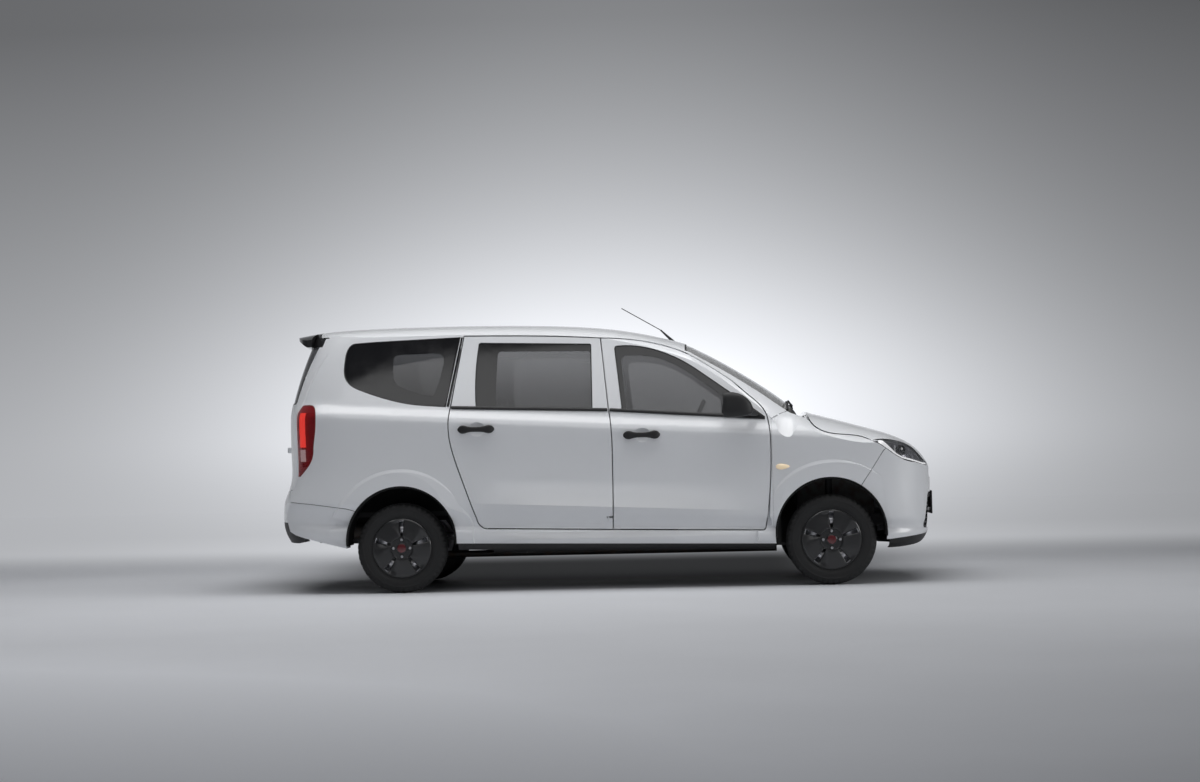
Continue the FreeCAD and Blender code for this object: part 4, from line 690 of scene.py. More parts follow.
cover_black = plastic("cover_black", (0.016, 0.016, 0.017), 0.34, 500, 0.00006, 0.35)
cap_red = plastic("cap_red", (0.10, 0.008, 0.012), 0.28, 300, 0.00004, 0.7)
RIM_SIDE = [
    (0.0790, 0.1895), (0.0760, 0.1900), (0.0745, 0.1880), (0.0745, 0.1785), (0.0600, 0.1775),
    (0.0340, 0.1765), (0.0300, 0.1700), (0.0350, 0.1600), (0.0520, 0.1500), (0.0600, 0.1400),
    (0.0620, 0.1250), (0.0580, 0.1050), (0.0450, 0.0900), (0.0320, 0.0780), (0.0265, 0.0400),
    (0.0265, 0.0270),
]
for name, (centre, side) in WHEELS.items():
    body = "wheel_" + name
    cover = grid("cover_" + name, cover_rows(centre, side), cover_black, body, 24, ring=True, skip=in_slot)
    wall = cover.modifiers.new("wall", "SOLIDIFY")
    wall.thickness, wall.offset = 0.005, 0
    steel = grid("steel_" + name, turned(RIM_SIDE, centre, side, 96), silver_steel, body, 40, loop=True)
    barrel = [(0.0745, 0.1700), (-0.0745, 0.1700), (-0.0745, 0.1900), (-0.0790, 0.1895)]
    inner = grid("barrel_" + name, turned(barrel, centre, side, 96), silver_steel, body, 40, loop=True)
    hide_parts("rim_" + name)
    quarter_turn = [step * math.pi / 16 for step in range(9)]
    dome = [(0.0955 + 0.0035 * math.cos(a), 0.0300 * math.sin(a)) for a in quarter_turn]
    grid("cap_" + name, turned(dome, centre, side, 48), cap_red, body, 60, loop=True)
print("wheel covers of", len(cover.data.polygons), "faces each")

# %% [markdown]
# Four nuts stand in the cover's recess. Each is a hexagon with a bevelled top and a thin bright ring at its
# foot. They are made as one small lathe with few steps and one with many.

# %% Nuts
NUT_CIRCLE = 0.0555
for name, (centre, side) in WHEELS.items():
    for i in range(4):
        angle = math.radians(90 * i)
        spot = centre + Vector((NUT_CIRCLE * math.cos(angle), 0, NUT_CIRCLE * math.sin(angle)))
        nut = [(0.0840, 0.0098), (0.0940, 0.0098), (0.0960, 0.0080), (0.0960, 0.0001)]
        grid(f"nut_{i}_{name}", turned(nut, spot, side, 6), silver_steel, "wheel_" + name, 30, loop=True)
        washer = [(0.0845, 0.0145), (0.0862, 0.0140), (0.0866, 0.0118), (0.0845, 0.0105)]
        ring = turned(washer, spot, side, 32)
        grid(f"washer_{i}_{name}", ring, bright_metal, "wheel_" + name, 30, loop=True)
print("nuts:", 4 * len(WHEELS))

# %% [markdown]
# ## Lamps
# A headlamp is a clear cover over a dark bowl. The CAD block is the cover, so it becomes clear glass, and
# the bowl, the light guide, the chrome bar and the projector are set inside it. Each lies between the
# lamp's lower and upper edge, so two numbers give a place: how far forward and how far up.

# %% Headlamps
def clear_cover(name, colour, opacity):
    shader = Shader(name)
    ribs = shader.noise(60, 2)
    shader.sets({
        "Base Color": colour,
        "Roughness": 0.03 + ribs * 0.02,
        "Alpha": opacity,
        "IOR": 1.5,
        "Specular IOR Level": 0.7,
        "Normal": shader.bump(ribs, 0.0004, 0.15),
    })
    return shader.material


def glowing(name, colour, strength):
    shader = Shader(name)
    shader.sets({
        "Base Color": colour,
        "Roughness": 0.25 + shader.noise(80, 2) * 0.1,
        "Emission Color": colour,
        "Emission Strength": strength,
        "Coat Weight": 0.5,
    })
    return shader.material


lamp_cover = clear_cover("lamp_cover", (0.30, 0.31, 0.33), 0.16)
light_guide = glowing("light_guide", (0.85, 0.85, 0.86), 0.45)
lamp_silver = metal("lamp_silver", (0.62, 0.61, 0.66), 0.22, 0, 40)
headlamp_low = measured([
    (1800, 936), (1846, 909), (1919, 857), (1982, 818), (2074, 793), (2130, 776), (2200, 766),
])
headlamp_high = measured([
    (1786, 942), (1838, 950), (1939, 938), (2031, 908), (2094, 860), (2143, 806), (2200, 788),
])


def level_at(line, x):
    """The height of a line of (x, z) points at x."""
    for (x0, z0), (x1, z1) in zip(line, line[1:]):
        if min(x0, x1) <= x <= max(x0, x1):
            return z0 + (z1 - z0) * (x - x0) / (x1 - x0)
    return line[0][1] if abs(x - line[0][0]) < abs(x - line[-1][0]) else line[-1][1]


def lamp_span(tree, side, low, high, x):
    """The lamp's lower and upper limit at x, as far as its skin reaches."""
    def covered(z):
        return tree.ray_cast(Vector((x, side * 1.3, z)), Vector((0, -side, 0)))[0] is not None

    bottom, top = level_at(low, x), level_at(high, x)
    while top > bottom and not covered(top - 0.001):
        top -= 0.002
    while bottom < top and not covered(bottom + 0.001):
        bottom += 0.002
    return bottom, top


def lamp_rows(tree, side, low, high, xs, shares, depth):
    """Points inside a lamp. depth(forward, up) is how far they lie behind its skin."""
    rows = []
    for i, x in enumerate(xs):
        bottom, top = lamp_span(tree, side, low, high, x)
        row = []
        for up in shares:
            point, normal = on_side(tree, x, bottom + (top - bottom) * up, side)
            row.append(point - normal * depth(i / (len(xs) - 1), up))
        rows.append(row)
    return rows


def spread(start, stop, count):
    return [start + (stop - start) * i / (count - 1) for i in range(count)]


def bowl_depth(forward, up):
    """Deep in the middle and shallow at the lamp's edge, with a ridge between two bowls."""
    edge = min(1, 9 * min(up, 1 - up), 12 * min(forward, 1 - forward))
    ridge = max(0, 1 - abs(forward - 0.55) / 0.06)
    return 0.004 + 0.022 * edge * (1 - 0.6 * ridge)


def guide_depth(forward, up):
    return 0.003


def bowl_rim(forward, up):
    """The hollow of the front reflector."""
    return 0.006 + 0.014 * (1 - abs(2 * forward - 1) ** 2) * (1 - abs(2 * up - 1) ** 2)


lamp_tree = tree_of("headlamps")
for name, side in SIDES.items():
    xs = spread(1.768, 2.140, 38)
    rows = lamp_rows(lamp_tree, side, headlamp_low, headlamp_high, xs, spread(0.03, 0.97, 14), bowl_depth)
    grid("lamp_bowl_" + name, rows, lamp_bezel, "root", 40)
    rows = []
    for i, x in enumerate(spread(1.80, 2.136, 34)):
        bottom, top = lamp_span(lamp_tree, side, headlamp_low, headlamp_high, x)
        tall = 0.042 - 0.031 * min(1, i / 12)
        row = []
        for up in (0.004, 0.004 + tall * 0.5, 0.004 + tall):
            point, normal = on_side(lamp_tree, x, min(bottom + up, top - 0.003), side)
            row.append(point - normal * 0.003)
        rows.append(row)
    grid("light_guide_" + name, rows, light_guide, "root", 60)
    rows = lamp_rows(lamp_tree, side, headlamp_low, headlamp_high,
                     spread(1.905, 1.917, 3), spread(0.20, 0.66, 8), guide_depth)
    grid("chrome_bar_" + name, rows, bright_metal, "root", 60)
    rows = lamp_rows(lamp_tree, side, headlamp_low, headlamp_high,
                     spread(1.955, 2.125, 16), spread(0.16, 0.82, 8), bowl_rim)
    grid("lamp_reflector_" + name, rows, lamp_silver, "root", 40)
    point, normal = on_side(lamp_tree, 1.955, 0.872, side)
    across = normal.cross(Vector((0, 0, 1))).normalized()
    above = across.cross(normal)
    eye = [(-0.020, 0.036), (-0.004, 0.034), (-0.004, 0.030),
           (-0.008, 0.027), (-0.003, 0.018), (-0.002, 0.001)]
    rows = []
    for step in range(40):
        angle = math.tau * step / 40
        turn = across * math.cos(angle) + above * math.sin(angle)
        rows.append([point + normal * out + turn * radius for out, radius in eye])
    grid("projector_" + name, rows, gloss_black, "root", 50, loop=True)
nodes["headlamps"].data.materials[0] = lamp_cover
print("headlamps with bowl, guide, bar and projector")

# %% [markdown]
# A tail lamp is red all through: a red cover over a deep red bowl, with a bright upright bar. Its colours
# follow the photograph: bright red at the bar, almost black towards the front.

# %% Tail lamps
tail_cover = clear_cover("tail_cover", (0.34, 0.008, 0.012), 0.50)
tail_bowl = plastic("tail_bowl", (0.10, 0.006, 0.008), 0.35, 200, 0.0003, 0.3)
tail_bar = glowing("tail_bar", (0.95, 0.07, 0.05), 0.9)
tail_white = glowing("tail_white", (0.75, 0.70, 0.70), 0.3)
tail_low = measured([
    (-1912, 1240), (-1899, 1180), (-1904, 1076), (-1917, 987), (-1930, 899), (-1968, 840), (-2021, 788),
])
tail_tree = tree_of("tail_lamps")


def tail_front(z):
    """The lamp's front edge at a height."""
    return level_at([(z0, x0) for x0, z0 in tail_low], z)


def tail_back(z, side):
    """The lamp's rear edge at a height: the first place, from behind, where a ray meets it."""
    x = -2.12
    while tail_tree.ray_cast(Vector((x, side * 1.3, z)), Vector((0, -side, 0)))[0] is None:
        x += 0.002
    return x


def tail_rows(side, zs, start, stop, count, depth):
    """Points inside the lamp. start and stop say how far each row begins and ends from its edges."""
    rows = []
    for z in zs:
        row = []
        front, back = tail_front(z), tail_back(z, side)
        for x in spread(start(front, back), stop(front, back), count):
            point, normal = on_side(tail_tree, x, z, side)
            row.append(point - normal * depth)
        rows.append(row)
    return rows


for name, side in SIDES.items():
    heights = spread(0.850, 1.225, 26)
    rows = tail_rows(side, heights, lambda front, back: front - 0.006,
                     lambda front, back: back + 0.004, 12, 0.024)
    grid("tail_bowl_" + name, rows, tail_bowl, "root", 50)
    rows = tail_rows(side, spread(0.98, 1.215, 14), lambda front, back: back + 0.055,
                     lambda front, back: back + 0.008, 4, 0.010)
    grid("tail_bar_" + name, rows, tail_bar, "root", 50)
    rows = tail_rows(side, spread(0.885, 0.965, 8), lambda front, back: back + 0.050,
                     lambda front, back: back + 0.008, 4, 0.010)
    grid("tail_reverse_" + name, rows, tail_white, "root", 50)
nodes["tail_lamps"].data.materials[0] = tail_cover
print("tail lamps with bowl and bars")

# %% [markdown]
# A small amber drop on each fender repeats the indicator. It is a dome over a pointed oval.

# %% Side repeaters
amber = glowing("amber", (0.92, 0.74, 0.50), 0.25)
REPEATER_AT = measured([(1195, 784)])[0]
for name, side in SIDES.items():
    rows = []
    for share in (1.0, 0.96, 0.8, 0.55, 0.3, 0.05):
        row = []
        for step in range(32):
            angle = math.tau * step / 32
            narrow = 1 - 0.35 * math.cos(angle)
            x = REPEATER_AT[0] + 0.046 * share * math.cos(angle)
            z = REPEATER_AT[1] + 0.018 * share * math.sin(angle) * narrow
            row.append(on_side(flanks[side], x, z, side, 0.010 * (1 - share ** 2) ** 0.5 - 0.0005)[0])
        rows.append(row)
    grid("repeater_" + name, rows, amber, "root", 50, ring=True)
print("repeaters: 2")

# %% [markdown]
# ## Mirrors and handles
# The mirror is a rounded case that tapers forward. It is lofted: soft rectangles are set one behind the other
# along the van's length and joined. The last one, facing back, holds the glass.

# %% Mirrors
def soft_rectangle(centre, across, above, half_across, half_above, count=32, power=4.0):
    """A closed line between an oval and a rectangle."""
    row = []
    for step in range(count):
        c, s = math.cos(math.tau * step / count), math.sin(math.tau * step / count)
        u = math.copysign(abs(c) ** (2 / power), c) * half_across
        v = math.copysign(abs(s) ** (2 / power), s) * half_above
        row.append(Vector(centre) + Vector(across) * u + Vector(above) * v)
    return row


ACROSS, ALONG, UP = Vector((0, 1, 0)), Vector((1, 0, 0)), Vector((0, 0, 1))
CASE = [
    (0.7915, 0.050, 0.066, 0.0), (0.7860, 0.058, 0.076, 0.0), (0.7900, 0.062, 0.081, 0.0),
    (0.8150, 0.064, 0.084, 0.0), (0.8500, 0.063, 0.083, 0.0), (0.8850, 0.060, 0.078, -0.002),
    (0.9150, 0.054, 0.070, -0.008), (0.9450, 0.043, 0.056, -0.016), (0.9680, 0.028, 0.038, -0.026),
    (0.9820, 0.008, 0.012, -0.034),
]
for name, side in SIDES.items():
    body = "door_front_" + name
    rows = [soft_rectangle((x, side * 0.926, 1.196 + drop), ACROSS, UP, wide, tall)
            for x, wide, tall, drop in CASE]
    case = grid("mirror_case_" + name, rows, black_plastic, body, 50, ring=True, caps=True)
    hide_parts("mirror_and_handle_" + name)
    rows = [soft_rectangle((0.7908, side * 0.926, 1.196), ACROSS, UP, 0.050 * s, 0.066 * s)
            for s in (1, 0.5, 0.02)]
    grid("mirror_glass_" + name, rows, mirror_glass, body, 50, ring=True)
    arm = [(0.985, 0.825, 1.137, 0.034), (0.978, 0.850, 1.138, 0.032),
           (0.965, 0.876, 1.142, 0.028), (0.950, 0.905, 1.150, 0.026)]
    rows = [soft_rectangle((x, side * y, z), ALONG, UP, half, 0.017, 20, 3) for x, y, z, half in arm]
    grid("mirror_arm_" + name, rows, black_plastic, body, 50, ring=True, caps=True)
print("mirrors:", len(SIDES))

# %% [markdown]
# A pull handle is a bar that spans a dish in the door. Its ends run down to the skin, and it is thickest
# where the hand goes round it. The line from one end's foot to the other's carries the whole bar.

# %% Door handles
HANDLES = {"door_front": measured([(271, 1013)])[0], "door_rear": measured([(-823, 1074)])[0]}
HALF_HANDLE = 0.1215
GRIP_STEPS = [
    -1, -0.98, -0.94, -0.88, -0.8, -0.7, -0.58, -0.45, -0.25, 0,
    0.25, 0.45, 0.58, 0.7, 0.8, 0.88, 0.94, 0.98, 1,
]
for name, side in SIDES.items():
    for door, (x, z) in HANDLES.items():
        back, _ = on_side(flanks[side], x - HALF_HANDLE, z, side)
        front, _ = on_side(flanks[side], x + HALF_HANDLE, z, side)
        rows = []
        for share in GRIP_STEPS:
            foot = back.lerp(front, (share + 1) / 2)
            rise = 0.020 * (1 - abs(share) ** 5)
            thick = 0.009 - 0.003 * abs(share) ** 3
            swell = math.exp(-((abs(share) - 0.70) / 0.26) ** 2)
            tall = (0.0160 + 0.0115 * swell) * (1 - max(0, abs(share) - 0.84) ** 2 * 26)
            centre = foot + ACROSS * side * (rise + thick * 0.5)
            rows.append(soft_rectangle(centre, ACROSS, UP, thick, tall, 20, 3))
        grip = grid(f"handle_{door}_{name}", rows, black_plastic, f"{door}_{name}", 50, ring=True, caps=True)
        if door == "door_rear":
            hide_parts("rear_handle_" + name)
print("handles:", len(HANDLES) * 2)

# %% [markdown]
# The panels' cut edges round a wheel are covered by a thin black lip, and the inner wall of the arch is felt.

# %% Arch lips
ARCH_CENTRE_Z, LIP_RADIUS = 0.342, 0.3665
LIP = [(0.3672, 0.846), (0.3655, 0.838), (0.355, 0.834), (0.354, 0.828), (0.3655, 0.824),
       (0.3665, 0.70), (0.3665, 0.50)]
for name, (centre, side) in WHEELS.items():
    rows = []
    for angle in spread(math.radians(-4), math.radians(184), 80):
        way = Vector((math.cos(angle), 0, math.sin(angle)))
        rows.append([Vector((centre.x, side * y, ARCH_CENTRE_Z)) + way * radius for radius, y in LIP])
    grid("arch_lip_" + name, rows, liner_felt, "root", 60)
    wall = []
    for angle in spread(math.radians(12), math.radians(168), 60):
        low_z, radius = 0.470, LIP_RADIUS - 0.001
        x, z = centre.x + radius * math.cos(angle), ARCH_CENTRE_Z + radius * math.sin(angle)
        wall.append([Vector((x, side * 0.500, max(z, low_z))), Vector((x, side * 0.500, low_z))])
    if name.startswith("rear"):
        grid("arch_wall_" + name, wall, liner_felt, "root", 60)
    else:
        inside = [[Vector((x, side * 0.436, z)) for z in (0.27, 0.66)] for x in (1.10, 1.18, 1.27)]
        grid("arch_wall_" + name, inside, liner_felt, "root", 60)
        guard = [[Vector((x, side * 0.787, z)) for z in (0.272, 0.37, 0.48)] for x in (1.114, 1.150)]
        grid("mud_guard_" + name, guard, liner_felt, "root", 60)
print("arch lips:", len(WHEELS))

# %% [markdown]
# ## Wipers and small parts outside
# A wiper is an arm from a pivot in the cowl and a thin blade on the glass. The glass curves, so rays find the
# blade's line. They come down from above in front, and from behind at the back.

# %% Wipers
def tube(name, line, radius, material, body, sides=10):
    """A round bar along a line of points, thinner where radius is a list with smaller numbers."""
    rows = []
    for i, point in enumerate(line):
        along = (line[min(i + 1, len(line) - 1)] - line[max(i - 1, 0)]).normalized()
        across = along.cross(UP if abs(along.z) < 0.9 else ALONG).normalized()
        above = across.cross(along)
        size = radius[i] if isinstance(radius, (list, tuple)) else radius
        rows.append([point + (across * math.cos(a) + above * math.sin(a)) * size
                     for a in (math.tau * step / sides for step in range(sides))])
    return grid(name, rows, material, body, 50, ring=True, caps=True)


screen = tree_of("windscreen")
for i, (pivot_y, blade_start, blade_stop) in enumerate(((-0.10, -0.62, -0.06), (0.52, -0.02, 0.54))):
    blade = []
    for share in spread(0, 1, 16):
        y = blade_start + (blade_stop - blade_start) * share
        blade.append(hit(screen, (1.232 - 0.03 * abs(y), y, 2.5), (0, 0, -1), 0.008)[0])
    tube(f"wiper_blade_{i}", blade, 0.006, black_plastic, "root", 8)
    spine = [point + Vector((0.004, 0, 0.010)) for point in blade[3:-3]]
    tube(f"wiper_spine_{i}", spine, 0.004, black_plastic, "root", 8)
    middle = blade[8] + Vector((0.006, 0, 0.014))
    pivot = Vector((1.262, pivot_y, 1.172))
    arm = [pivot, pivot + Vector((0, 0, 0.022)), pivot.lerp(middle, 0.4) + Vector((0, 0, 0.014)), middle]
    tube(f"wiper_arm_{i}", arm, [0.013, 0.011, 0.007, 0.005], black_plastic, "root")
back_glass = tree_of("tailgate_window", "tailgate")
blade = [hit(back_glass, (-3, y, 1.30 + 0.02 * abs(y)), (1, 0, 0), 0.010)[0] for y in spread(0.03, 0.36, 12)]
tube("rear_wiper_blade", blade, 0.006, black_plastic, "tailgate", 8)
hub, _ = hit(back_glass, (-3, 0, 1.245), (1, 0, 0), 0.004)
elbow = hub.lerp(blade[6], 0.5) - Vector((0.012, 0, 0))
arm = [hub + Vector((0.01, 0, 0)), hub - Vector((0.022, 0, 0)), elbow, blade[6]]
tube("rear_wiper_arm", arm, [0.020, 0.016, 0.008, 0.005], black_plastic, "tailgate")
print("wipers: 3")

# %% [markdown]
# ## Seats
# Each seat is made of stuffed pads: a cushion, a back and a headrest. A pad starts as a grid over a box with
# soft corners. Its middle is crowned, its sides pull in between the corners, and shallow sewn channels run
# along it. Cord piping hides the seam round its edge.

# %% Stuffed pads
def fabric():
    shader = Shader("seat_fabric")
    weave_x = shader.noise(900, 2, (1, 0.25, 1))
    weave_y = shader.noise(900, 2, (0.25, 1, 1))
    wear = shader.noise(5, 3).ramp(0.3, 0.8)
    shader.sets({
        "Base Color": shader.mix(wear * 0.4, (0.030, 0.031, 0.034), (0.050, 0.051, 0.055)),
        "Roughness": 0.9,
        "Sheen Weight": 0.3,
        "Normal": shader.bump(weave_x * 0.5 + weave_y * 0.5, 0.0012, 0.6),
    })
    return shader.material


seat_fabric = fabric()
seat_piping = plastic("seat_piping", (0.018, 0.018, 0.019), 0.7, 900, 0.0002)
PAD_STEPS = 30


def pad_point(u, v, top, half, channels):
    """A point of a pad. u and v run from -1 to 1 across it, and top is +1 or -1 for its face."""
    width, length, thick = half
    crown = (1 - abs(u) ** 4) * (1 - abs(v) ** 4)
    pull = 1 - 0.035 * (1 - abs(v) ** 2) * abs(u) ** 3
    squeeze = 1 - 0.035 * (1 - abs(u) ** 2) * abs(v) ** 3
    sewn = sum(math.exp(-((u - place) / 0.045) ** 2) for place in channels) if top > 0 else 0
    rise = thick * (0.30 + 0.70 * crown ** 0.5) - 0.012 * sewn * crown
    corner = 1 - 0.10 * max(0, abs(u) - 0.75) * max(0, abs(v) - 0.75) * 16
    return Vector((u * width * pull * corner, v * length * squeeze * corner, top * rise))


def pad(name, centre, half, lean, channels=(-0.5, 0.5)):
    """A stuffed pad that leans back by that angle. half is (width, length, thickness)."""
    turn = Matrix.Rotation(math.radians(lean), 3, "Y") @ Matrix(((0, 1, 0), (1, 0, 0), (0, 0, 1)))
    rows = []
    line = [math.sin(math.pi / 2 * t) for t in spread(-1, 1, PAD_STEPS)]
    points, faces, at = [], [], {}
    for top in (1, -1):
        for i, v in enumerate(line):
            for j, u in enumerate(line):
                edge = i in (0, PAD_STEPS - 1) or j in (0, PAD_STEPS - 1)
                key = (i, j) if edge else (i, j, top)
                if key not in at:
                    place = pad_point(u, v, 0 if edge else top, half, channels)
                    at[key] = len(points)
                    points.append(Vector(centre) + turn @ place)
        for i in range(PAD_STEPS - 1):
            for j in range(PAD_STEPS - 1):
                corners = [(i, j), (i, j + 1), (i + 1, j + 1), (i + 1, j)]
                faces.append([at[c] if c in at else at[(*c, top)] for c in corners])
    made = piece(name, points, faces, seat_fabric, "root", 70)
    smooth = made.modifiers.new("soft", "SUBSURF")
    smooth.levels = smooth.render_levels = 1
    ends = [(i, 0) for i in range(PAD_STEPS)] + [(PAD_STEPS - 1, j) for j in range(1, PAD_STEPS)]
    ends += [(i, PAD_STEPS - 1) for i in reversed(range(PAD_STEPS - 1))]
    ends += [(0, j) for j in reversed(range(1, PAD_STEPS - 1))]
    seam = [points[at[end]] for end in ends]
    rows = []
    for i, point in enumerate(seam):
        along = (seam[(i + 1) % len(seam)] - seam[i - 1]).normalized()
        out = (point - Vector(centre)).normalized()
        across = along.cross(out).normalized()
        rows.append([point + (out * math.cos(a) + across * math.sin(a)) * 0.004
                     for a in spread(0, math.tau * 5 / 6, 6)])
    grid("piping_" + name, rows, seat_piping, "root", 60, ring=True, loop=True)
    return made


def seat(name, y, width, knee_x, seat_z, back_z, places):
    """A cushion, a back and headrests for a CAD seat, whose front upper edge is at knee_x and seat_z."""
    half = width / 2 - 0.01
    cushion_place = (knee_x - 0.235, y, seat_z - 0.062)
    cushion = pad(f"{name}_cushion", cushion_place, (half, 0.225, 0.062), 3, (-0.55, 0.55))
    tall = back_z - seat_z
    middle = (knee_x - 0.505 - tall * 0.055, y, seat_z + tall * 0.49)
    pad(f"{name}_back", middle, (half, tall * 0.47, 0.055), -81, (-0.55, 0.55))
    for i, place in enumerate(places):
        top = (knee_x - 0.575, y + place, back_z + 0.085)
        pad(f"{name}_headrest_{i}", top, (0.125, 0.075, 0.045), -84, ())
        for j, shift in enumerate((-0.05, 0.05)):
            foot = Vector((knee_x - 0.572, y + place + shift, back_z - 0.06))
            post = [foot, foot + Vector((-0.002, 0, 0.09))]
            tube(f"{name}_post_{i}_{j}", post, 0.006, bright_metal, "root", 8)
    levels = ((seat_z - 0.32, 0.98), (seat_z - 0.20, 0.9), (seat_z - 0.10, 0.94))
    rows = [soft_rectangle((knee_x - 0.27, y, z), ALONG, ACROSS, 0.20 * s, half * s, 32, 8)
            for z, s in levels]
    base = grid(f"{name}_base", rows, cabin_plastic, "root", 50, ring=True, caps=True)
    return cushion, base


left_cushion, _ = seat("seat_left", 0.37, 0.5, 0.535, 0.61, 1.12, (0,))
seat("seat_right", -0.37, 0.5, 0.535, 0.61, 1.12, (0,))
middle_cushion, _ = seat("middle_bench", 0, 1.22, -0.175, 0.64, 1.14, (-0.4, 0, 0.4))
seat("third_bench", 0, 1.04, -1.085, 0.80, 1.18, (-0.3, 0.3))
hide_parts("front_seats")
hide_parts("rear_seats")

# %% [markdown]
# ## Tailgate and plates
# The spoiler and the top of the tailgate are black, the rest is white. It is one solid in the CAD, so its
# paint has a mask by height. The blank plates get thin frames of four black strips.

# %% Two-tone tailgate
BLACK_ABOVE = 1.655


def two_tone(name, colour):
    made = paint(name, colour)
    shader = Shader(name + "_split")
    shader.material, shader.tree = made, made.node_tree
    shader.end = made.node_tree.nodes["Principled BSDF"]
    place = shader.place()
    height = place[2]
    edge = (place[0] + 1.885 - (height - 1.70) * 0.4) / 0.003
    split = height.ramp(BLACK_ABOVE - 0.0015, BLACK_ABOVE + 0.0015) * (0.5 - edge).high(0).low(1)
    below = Value(shader, shader.end.inputs["Base Color"].links[0].from_socket)
    shader.sets({"Base Color": shader.mix(split, below, (0.010, 0.010, 0.011))})
    return made


nodes["tailgate"].data.materials[0] = two_tone("tailgate_paint", WHITE)


def box_piece(name, low, high, material, body, round_by=0.004):
    """A box with rounded edges between two corners."""
    points = [(x, y, z) for x in (low[0], high[0]) for y in (low[1], high[1]) for z in (low[2], high[2])]
    faces = [(0, 1, 3, 2), (4, 6, 7, 5), (0, 4, 5, 1), (2, 3, 7, 6), (0, 2, 6, 4), (1, 5, 7, 3)]
    made = piece(name, points, faces, material, body, 40)
    soft = made.modifiers.new("edges", "BEVEL")
    soft.width, soft.segments = round_by, 3
    return made


def plate_frame(node, body, out, face, bottom):
    """Four black strips round a plate, standing a little in front of it."""
    top = bottom + 0.140
    x0, x1 = sorted((face - out * 0.008, face + out * 0.003))
    for part, (y0, y1, z0, z1) in {
        "low": (-0.228, 0.228, bottom - 0.010, bottom + 0.008),
        "high": (-0.228, 0.228, top - 0.006, top + 0.006),
        "left": (0.214, 0.226, bottom - 0.004, top + 0.004),
        "right": (-0.226, -0.214, bottom - 0.004, top + 0.004),
    }.items():
        box_piece(f"{node}_frame_{part}", (x0, y0, z0), (x1, y1, z1), black_plastic, body, 0.002)


FRONT_FACE = 2.196
front_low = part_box("front_plate")[1].z - 0.140
front_sheet = box_piece("front_plate_sheet", (FRONT_FACE - 0.005, -0.219, front_low),
                        (FRONT_FACE, 0.219, front_low + 0.140), plate_blank, "root", 0.002)
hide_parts("front_plate")
box_piece("front_plate_holder", (2.155, -0.11, front_low + 0.03),
          (FRONT_FACE - 0.004, 0.11, front_low + 0.10), black_plastic, "root")
plate_frame("front_plate", "root", 1, FRONT_FACE, front_low)
rear_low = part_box("rear_plate")[0]
plate_frame("rear_plate", "tailgate", -1, rear_low.x, rear_low.z)
bar_x = hit(back_glass, (-3, 0, 0.965), (1, 0, 0))[0].x
box_piece("tailgate_bar", (bar_x - 0.018, -0.36, 0.945), (bar_x + 0.02, 0.36, 0.985),
          white_paint, "tailgate", 0.008)
stop_x = hit(back_glass, (-3, 0, 1.695), (1, 0, 0))[0].x
box_piece("stop_lamp", (stop_x - 0.003, -0.14, 1.686), (stop_x + 0.02, 0.14, 1.704),
          tail_cover, "tailgate", 0.003)
print("tailgate dressed")

# %% [markdown]
# ## Springs
# A coil spring is a round wire along a helix. It goes round the plain CAD strut, inside the space that
# the CAD keeps for it.

# %% Coil springs
spring_paint = plastic("spring_paint", (0.02, 0.02, 0.022), 0.4, 200, 0.0002, 0.2)
COIL_X, COIL_Y, COIL_Z, COIL_RADIUS, COIL_PITCH = 1.4795, 0.5555, 0.715, 0.059, 0.030
for name, side in SIDES.items():
    line = []
    for step in range(181):
        angle = math.tau * step / 30
        round_by = Vector((math.cos(angle), math.sin(angle), 0)) * COIL_RADIUS
        line.append(Vector((COIL_X, side * COIL_Y, COIL_Z + COIL_PITCH * step / 30)) + round_by)
    tube("coil_" + name, line, 0.007, spring_paint, "root", 8)
print("coil springs: 2")

# %% [markdown]
# ## The studio
# The van stands in front of a bright glow that fades to grey. The wall is a card that shines by itself, and
# the floor is a matt sheet that carries the shadow. Under and behind the van the floor also has a painted
# shadow, under the overhead softbox it has painted shade, and painted light makes it lighter towards the
# van's rear and on the camera's side. Far behind the van the floor starts to shine as well, as much as the
# wall's foot, so that no edge shows between them.

# %% Wall and floor
GLOW_X, GLOW_Z, GLOW_Y = -0.4, 1.2, 11.0
WALL_Y = 22.0
EYE_X, EYE_Y, EYE_Z = 0.66, -16.2, 0.92
ROOM_TINT = (0.965, 0.985, 1.03)


def card(name, corners, material):
    mesh = bpy.data.meshes.new(name)
    mesh.from_pydata(corners, [], [list(range(len(corners)))])
    mesh.materials.append(material)
    obj = bpy.data.objects.new(name, mesh)
    bpy.context.scene.collection.objects.link(obj)
    return obj


def tinted(shader, light):
    """A grey of the room, as bright as light says."""
    red, green, blue = (light * tint for tint in ROOM_TINT)
    return shader.node("CombineColor", sockets={0: red, 1: green, 2: blue})


def glow(x, z):
    """The wall's light: a wide spot, flatter above than below, on a grey that fades upward."""
    above = ((z - GLOW_Z).high(0) / 1.9) ** 2
    below = ((z - GLOW_Z).low(0).size() / 0.9) ** 2
    across = (((x - GLOW_X) / 4.3) * ((x - GLOW_X) / 4.3) * -1).math("EXPONENT")
    grey = ((6.0 - z).high(0) * 0.045 + 0.12) * (1 - x * 0.022)
    return grey + across * 0.90 / (above + below + 1)


def drawn_glow(x, y, z):
    """The glow, drawn on the plane at GLOW_Y and carried on from there to what stands farther back."""
    reach = ((y.high(GLOW_Y) - EYE_Y) / (GLOW_Y - EYE_Y)).math("POWER", -1)
    return glow((x - EYE_X) * reach + EYE_X, (z - EYE_Z) * reach + EYE_Z)


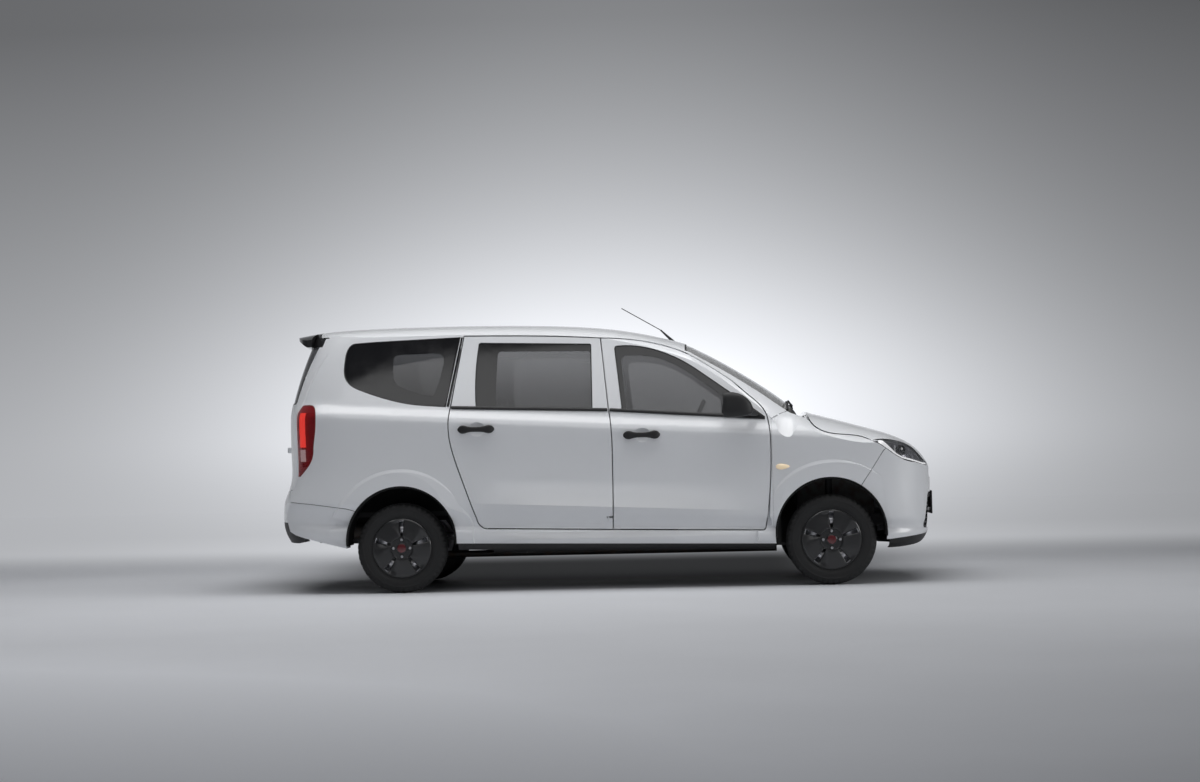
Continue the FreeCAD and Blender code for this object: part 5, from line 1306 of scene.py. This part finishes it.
def wall_finish():
    shader = Shader("studio_wall")
    x, y, z = shader.place()
    light = tinted(shader, drawn_glow(x, y, z))
    shader.sets({
        "Base Color": (0, 0, 0),
        "Specular IOR Level": 0.0,
        "Emission Color": light,
        "Emission Strength": 1.0,
    })
    return shader.material


def floor_finish():
    shader = Shader("studio_floor")
    x, y, z = shader.place()
    far = y.ramp(2.0, 7.0)
    grain = shader.noise(0.8, 4).ramp(0.3, 0.7) * 0.02
    # Painted shade: the floor's colour is darker under the overhead softbox, where its light is strongest.
    painted_shade_under_softbox = ((y + 1.2) / 3.4 * ((y + 1.2) / 3.4) * -1).math("EXPONENT")
    # Painted shadow: a soft dark patch under and behind the van, which darkens the floor's colour and its
    # glow.
    behind = y.ramp(-0.9, 0.6) * (1 - y.ramp(2.8, 6.5)) * (1 - (x + 0.15).size().ramp(1.3, 2.9)) * 0.97
    # Painted light: the floor's colour is lighter towards the van's rear, and more so from 4 to 10 m out on
    # the camera's side.
    painted_light_near = (0 - y).ramp(4.0, 10.0)
    shade = ((0.66 - x * 0.030).low(0.86).high(0.30) + grain) * (1.05 - painted_shade_under_softbox * 0.16)
    shade = (shade * (painted_light_near * (0.55 - x * 0.20) + 1)).low(0.95) * (1 - far) * (1 - behind)
    glare = drawn_glow(x, y, z) * far * 0.93 * (1 - behind)
    shader.sets({
        "Base Color": tinted(shader, shade),
        "Roughness": 0.75,
        "Specular IOR Level": 0.1,
        "Emission Color": tinted(shader, glare),
        "Emission Strength": 1.0,
    })
    return shader.material


card("studio_wall", [(-50, WALL_Y, -3), (50, WALL_Y, -3), (50, WALL_Y, 30), (-50, WALL_Y, 30)], wall_finish())
card("studio_floor", [(-50, -30, 0), (50, -30, 0), (50, WALL_Y, 0), (-50, WALL_Y, 0)], floor_finish())

# %% [markdown]
# Light comes from a long softbox overhead, a weaker one over the camera, and the grey of the room. Broad
# lights give the long soft gradients that show a car's surfaces.

# %% Lights
def softbox(name, place, aim, width, depth, power):
    light = bpy.data.lights.new(name, "AREA")
    light.shape = "RECTANGLE"
    light.size = width
    light.size_y = depth
    light.energy = power
    obj = bpy.data.objects.new(name, light)
    obj.location = place
    obj.rotation_euler = (Vector(aim) - Vector(place)).to_track_quat("-Z", "Y").to_euler()
    bpy.context.scene.collection.objects.link(obj)
    return obj


softbox("overhead", (-0.3, -1.0, 5.6), (-0.3, -1.0, 0), 9, 4, 310)
softbox("front_fill", (-0.3, -9, 6.0), (0, 0, 0.6), 10, 3, 100)
softbox("nose_fill", (9, -3.0, 2.6), (1.8, 0, 0.7), 4, 3, 170)
world = bpy.data.worlds.new("studio_air")
world.use_nodes = True
world.node_tree.nodes["Background"].inputs["Color"].default_value = (0.50, 0.52, 0.56, 1)
world.node_tree.nodes["Background"].inputs["Strength"].default_value = 0.17
bpy.context.scene.world = world

# %% [markdown]
# ## The camera
# The picture was taken with a long lens from the van's right side, a little above the wheels. Place, turn and
# lens were found by matching the wheels, the sills and the roof line.

# %% Camera
CAMERA_PLACE = (0.6615, -16.1976, 0.9235)
YAW, PITCH, ROLL = math.radians(2.548), math.radians(1.435), math.radians(-1.290)
LENS_MM = 69.9

forward = Vector((-math.sin(YAW) * math.cos(PITCH), math.cos(YAW) * math.cos(PITCH), math.sin(PITCH)))
right = Vector((math.cos(YAW), math.sin(YAW), 0))
upward = right.cross(forward)
rolled_right = right * math.cos(ROLL) + upward * math.sin(ROLL)
rolled_up = upward * math.cos(ROLL) - right * math.sin(ROLL)
lens = bpy.data.cameras.new("camera")
lens.lens = LENS_MM
lens.sensor_width = 36
camera = bpy.data.objects.new("camera", lens)
turn = Matrix((rolled_right, rolled_up, -forward)).transposed().to_4x4()
camera.matrix_world = Matrix.Translation(CAMERA_PLACE) @ turn
bpy.context.scene.collection.objects.link(camera)
bpy.context.scene.camera = camera
bpy.context.scene.view_settings.view_transform = "Standard"
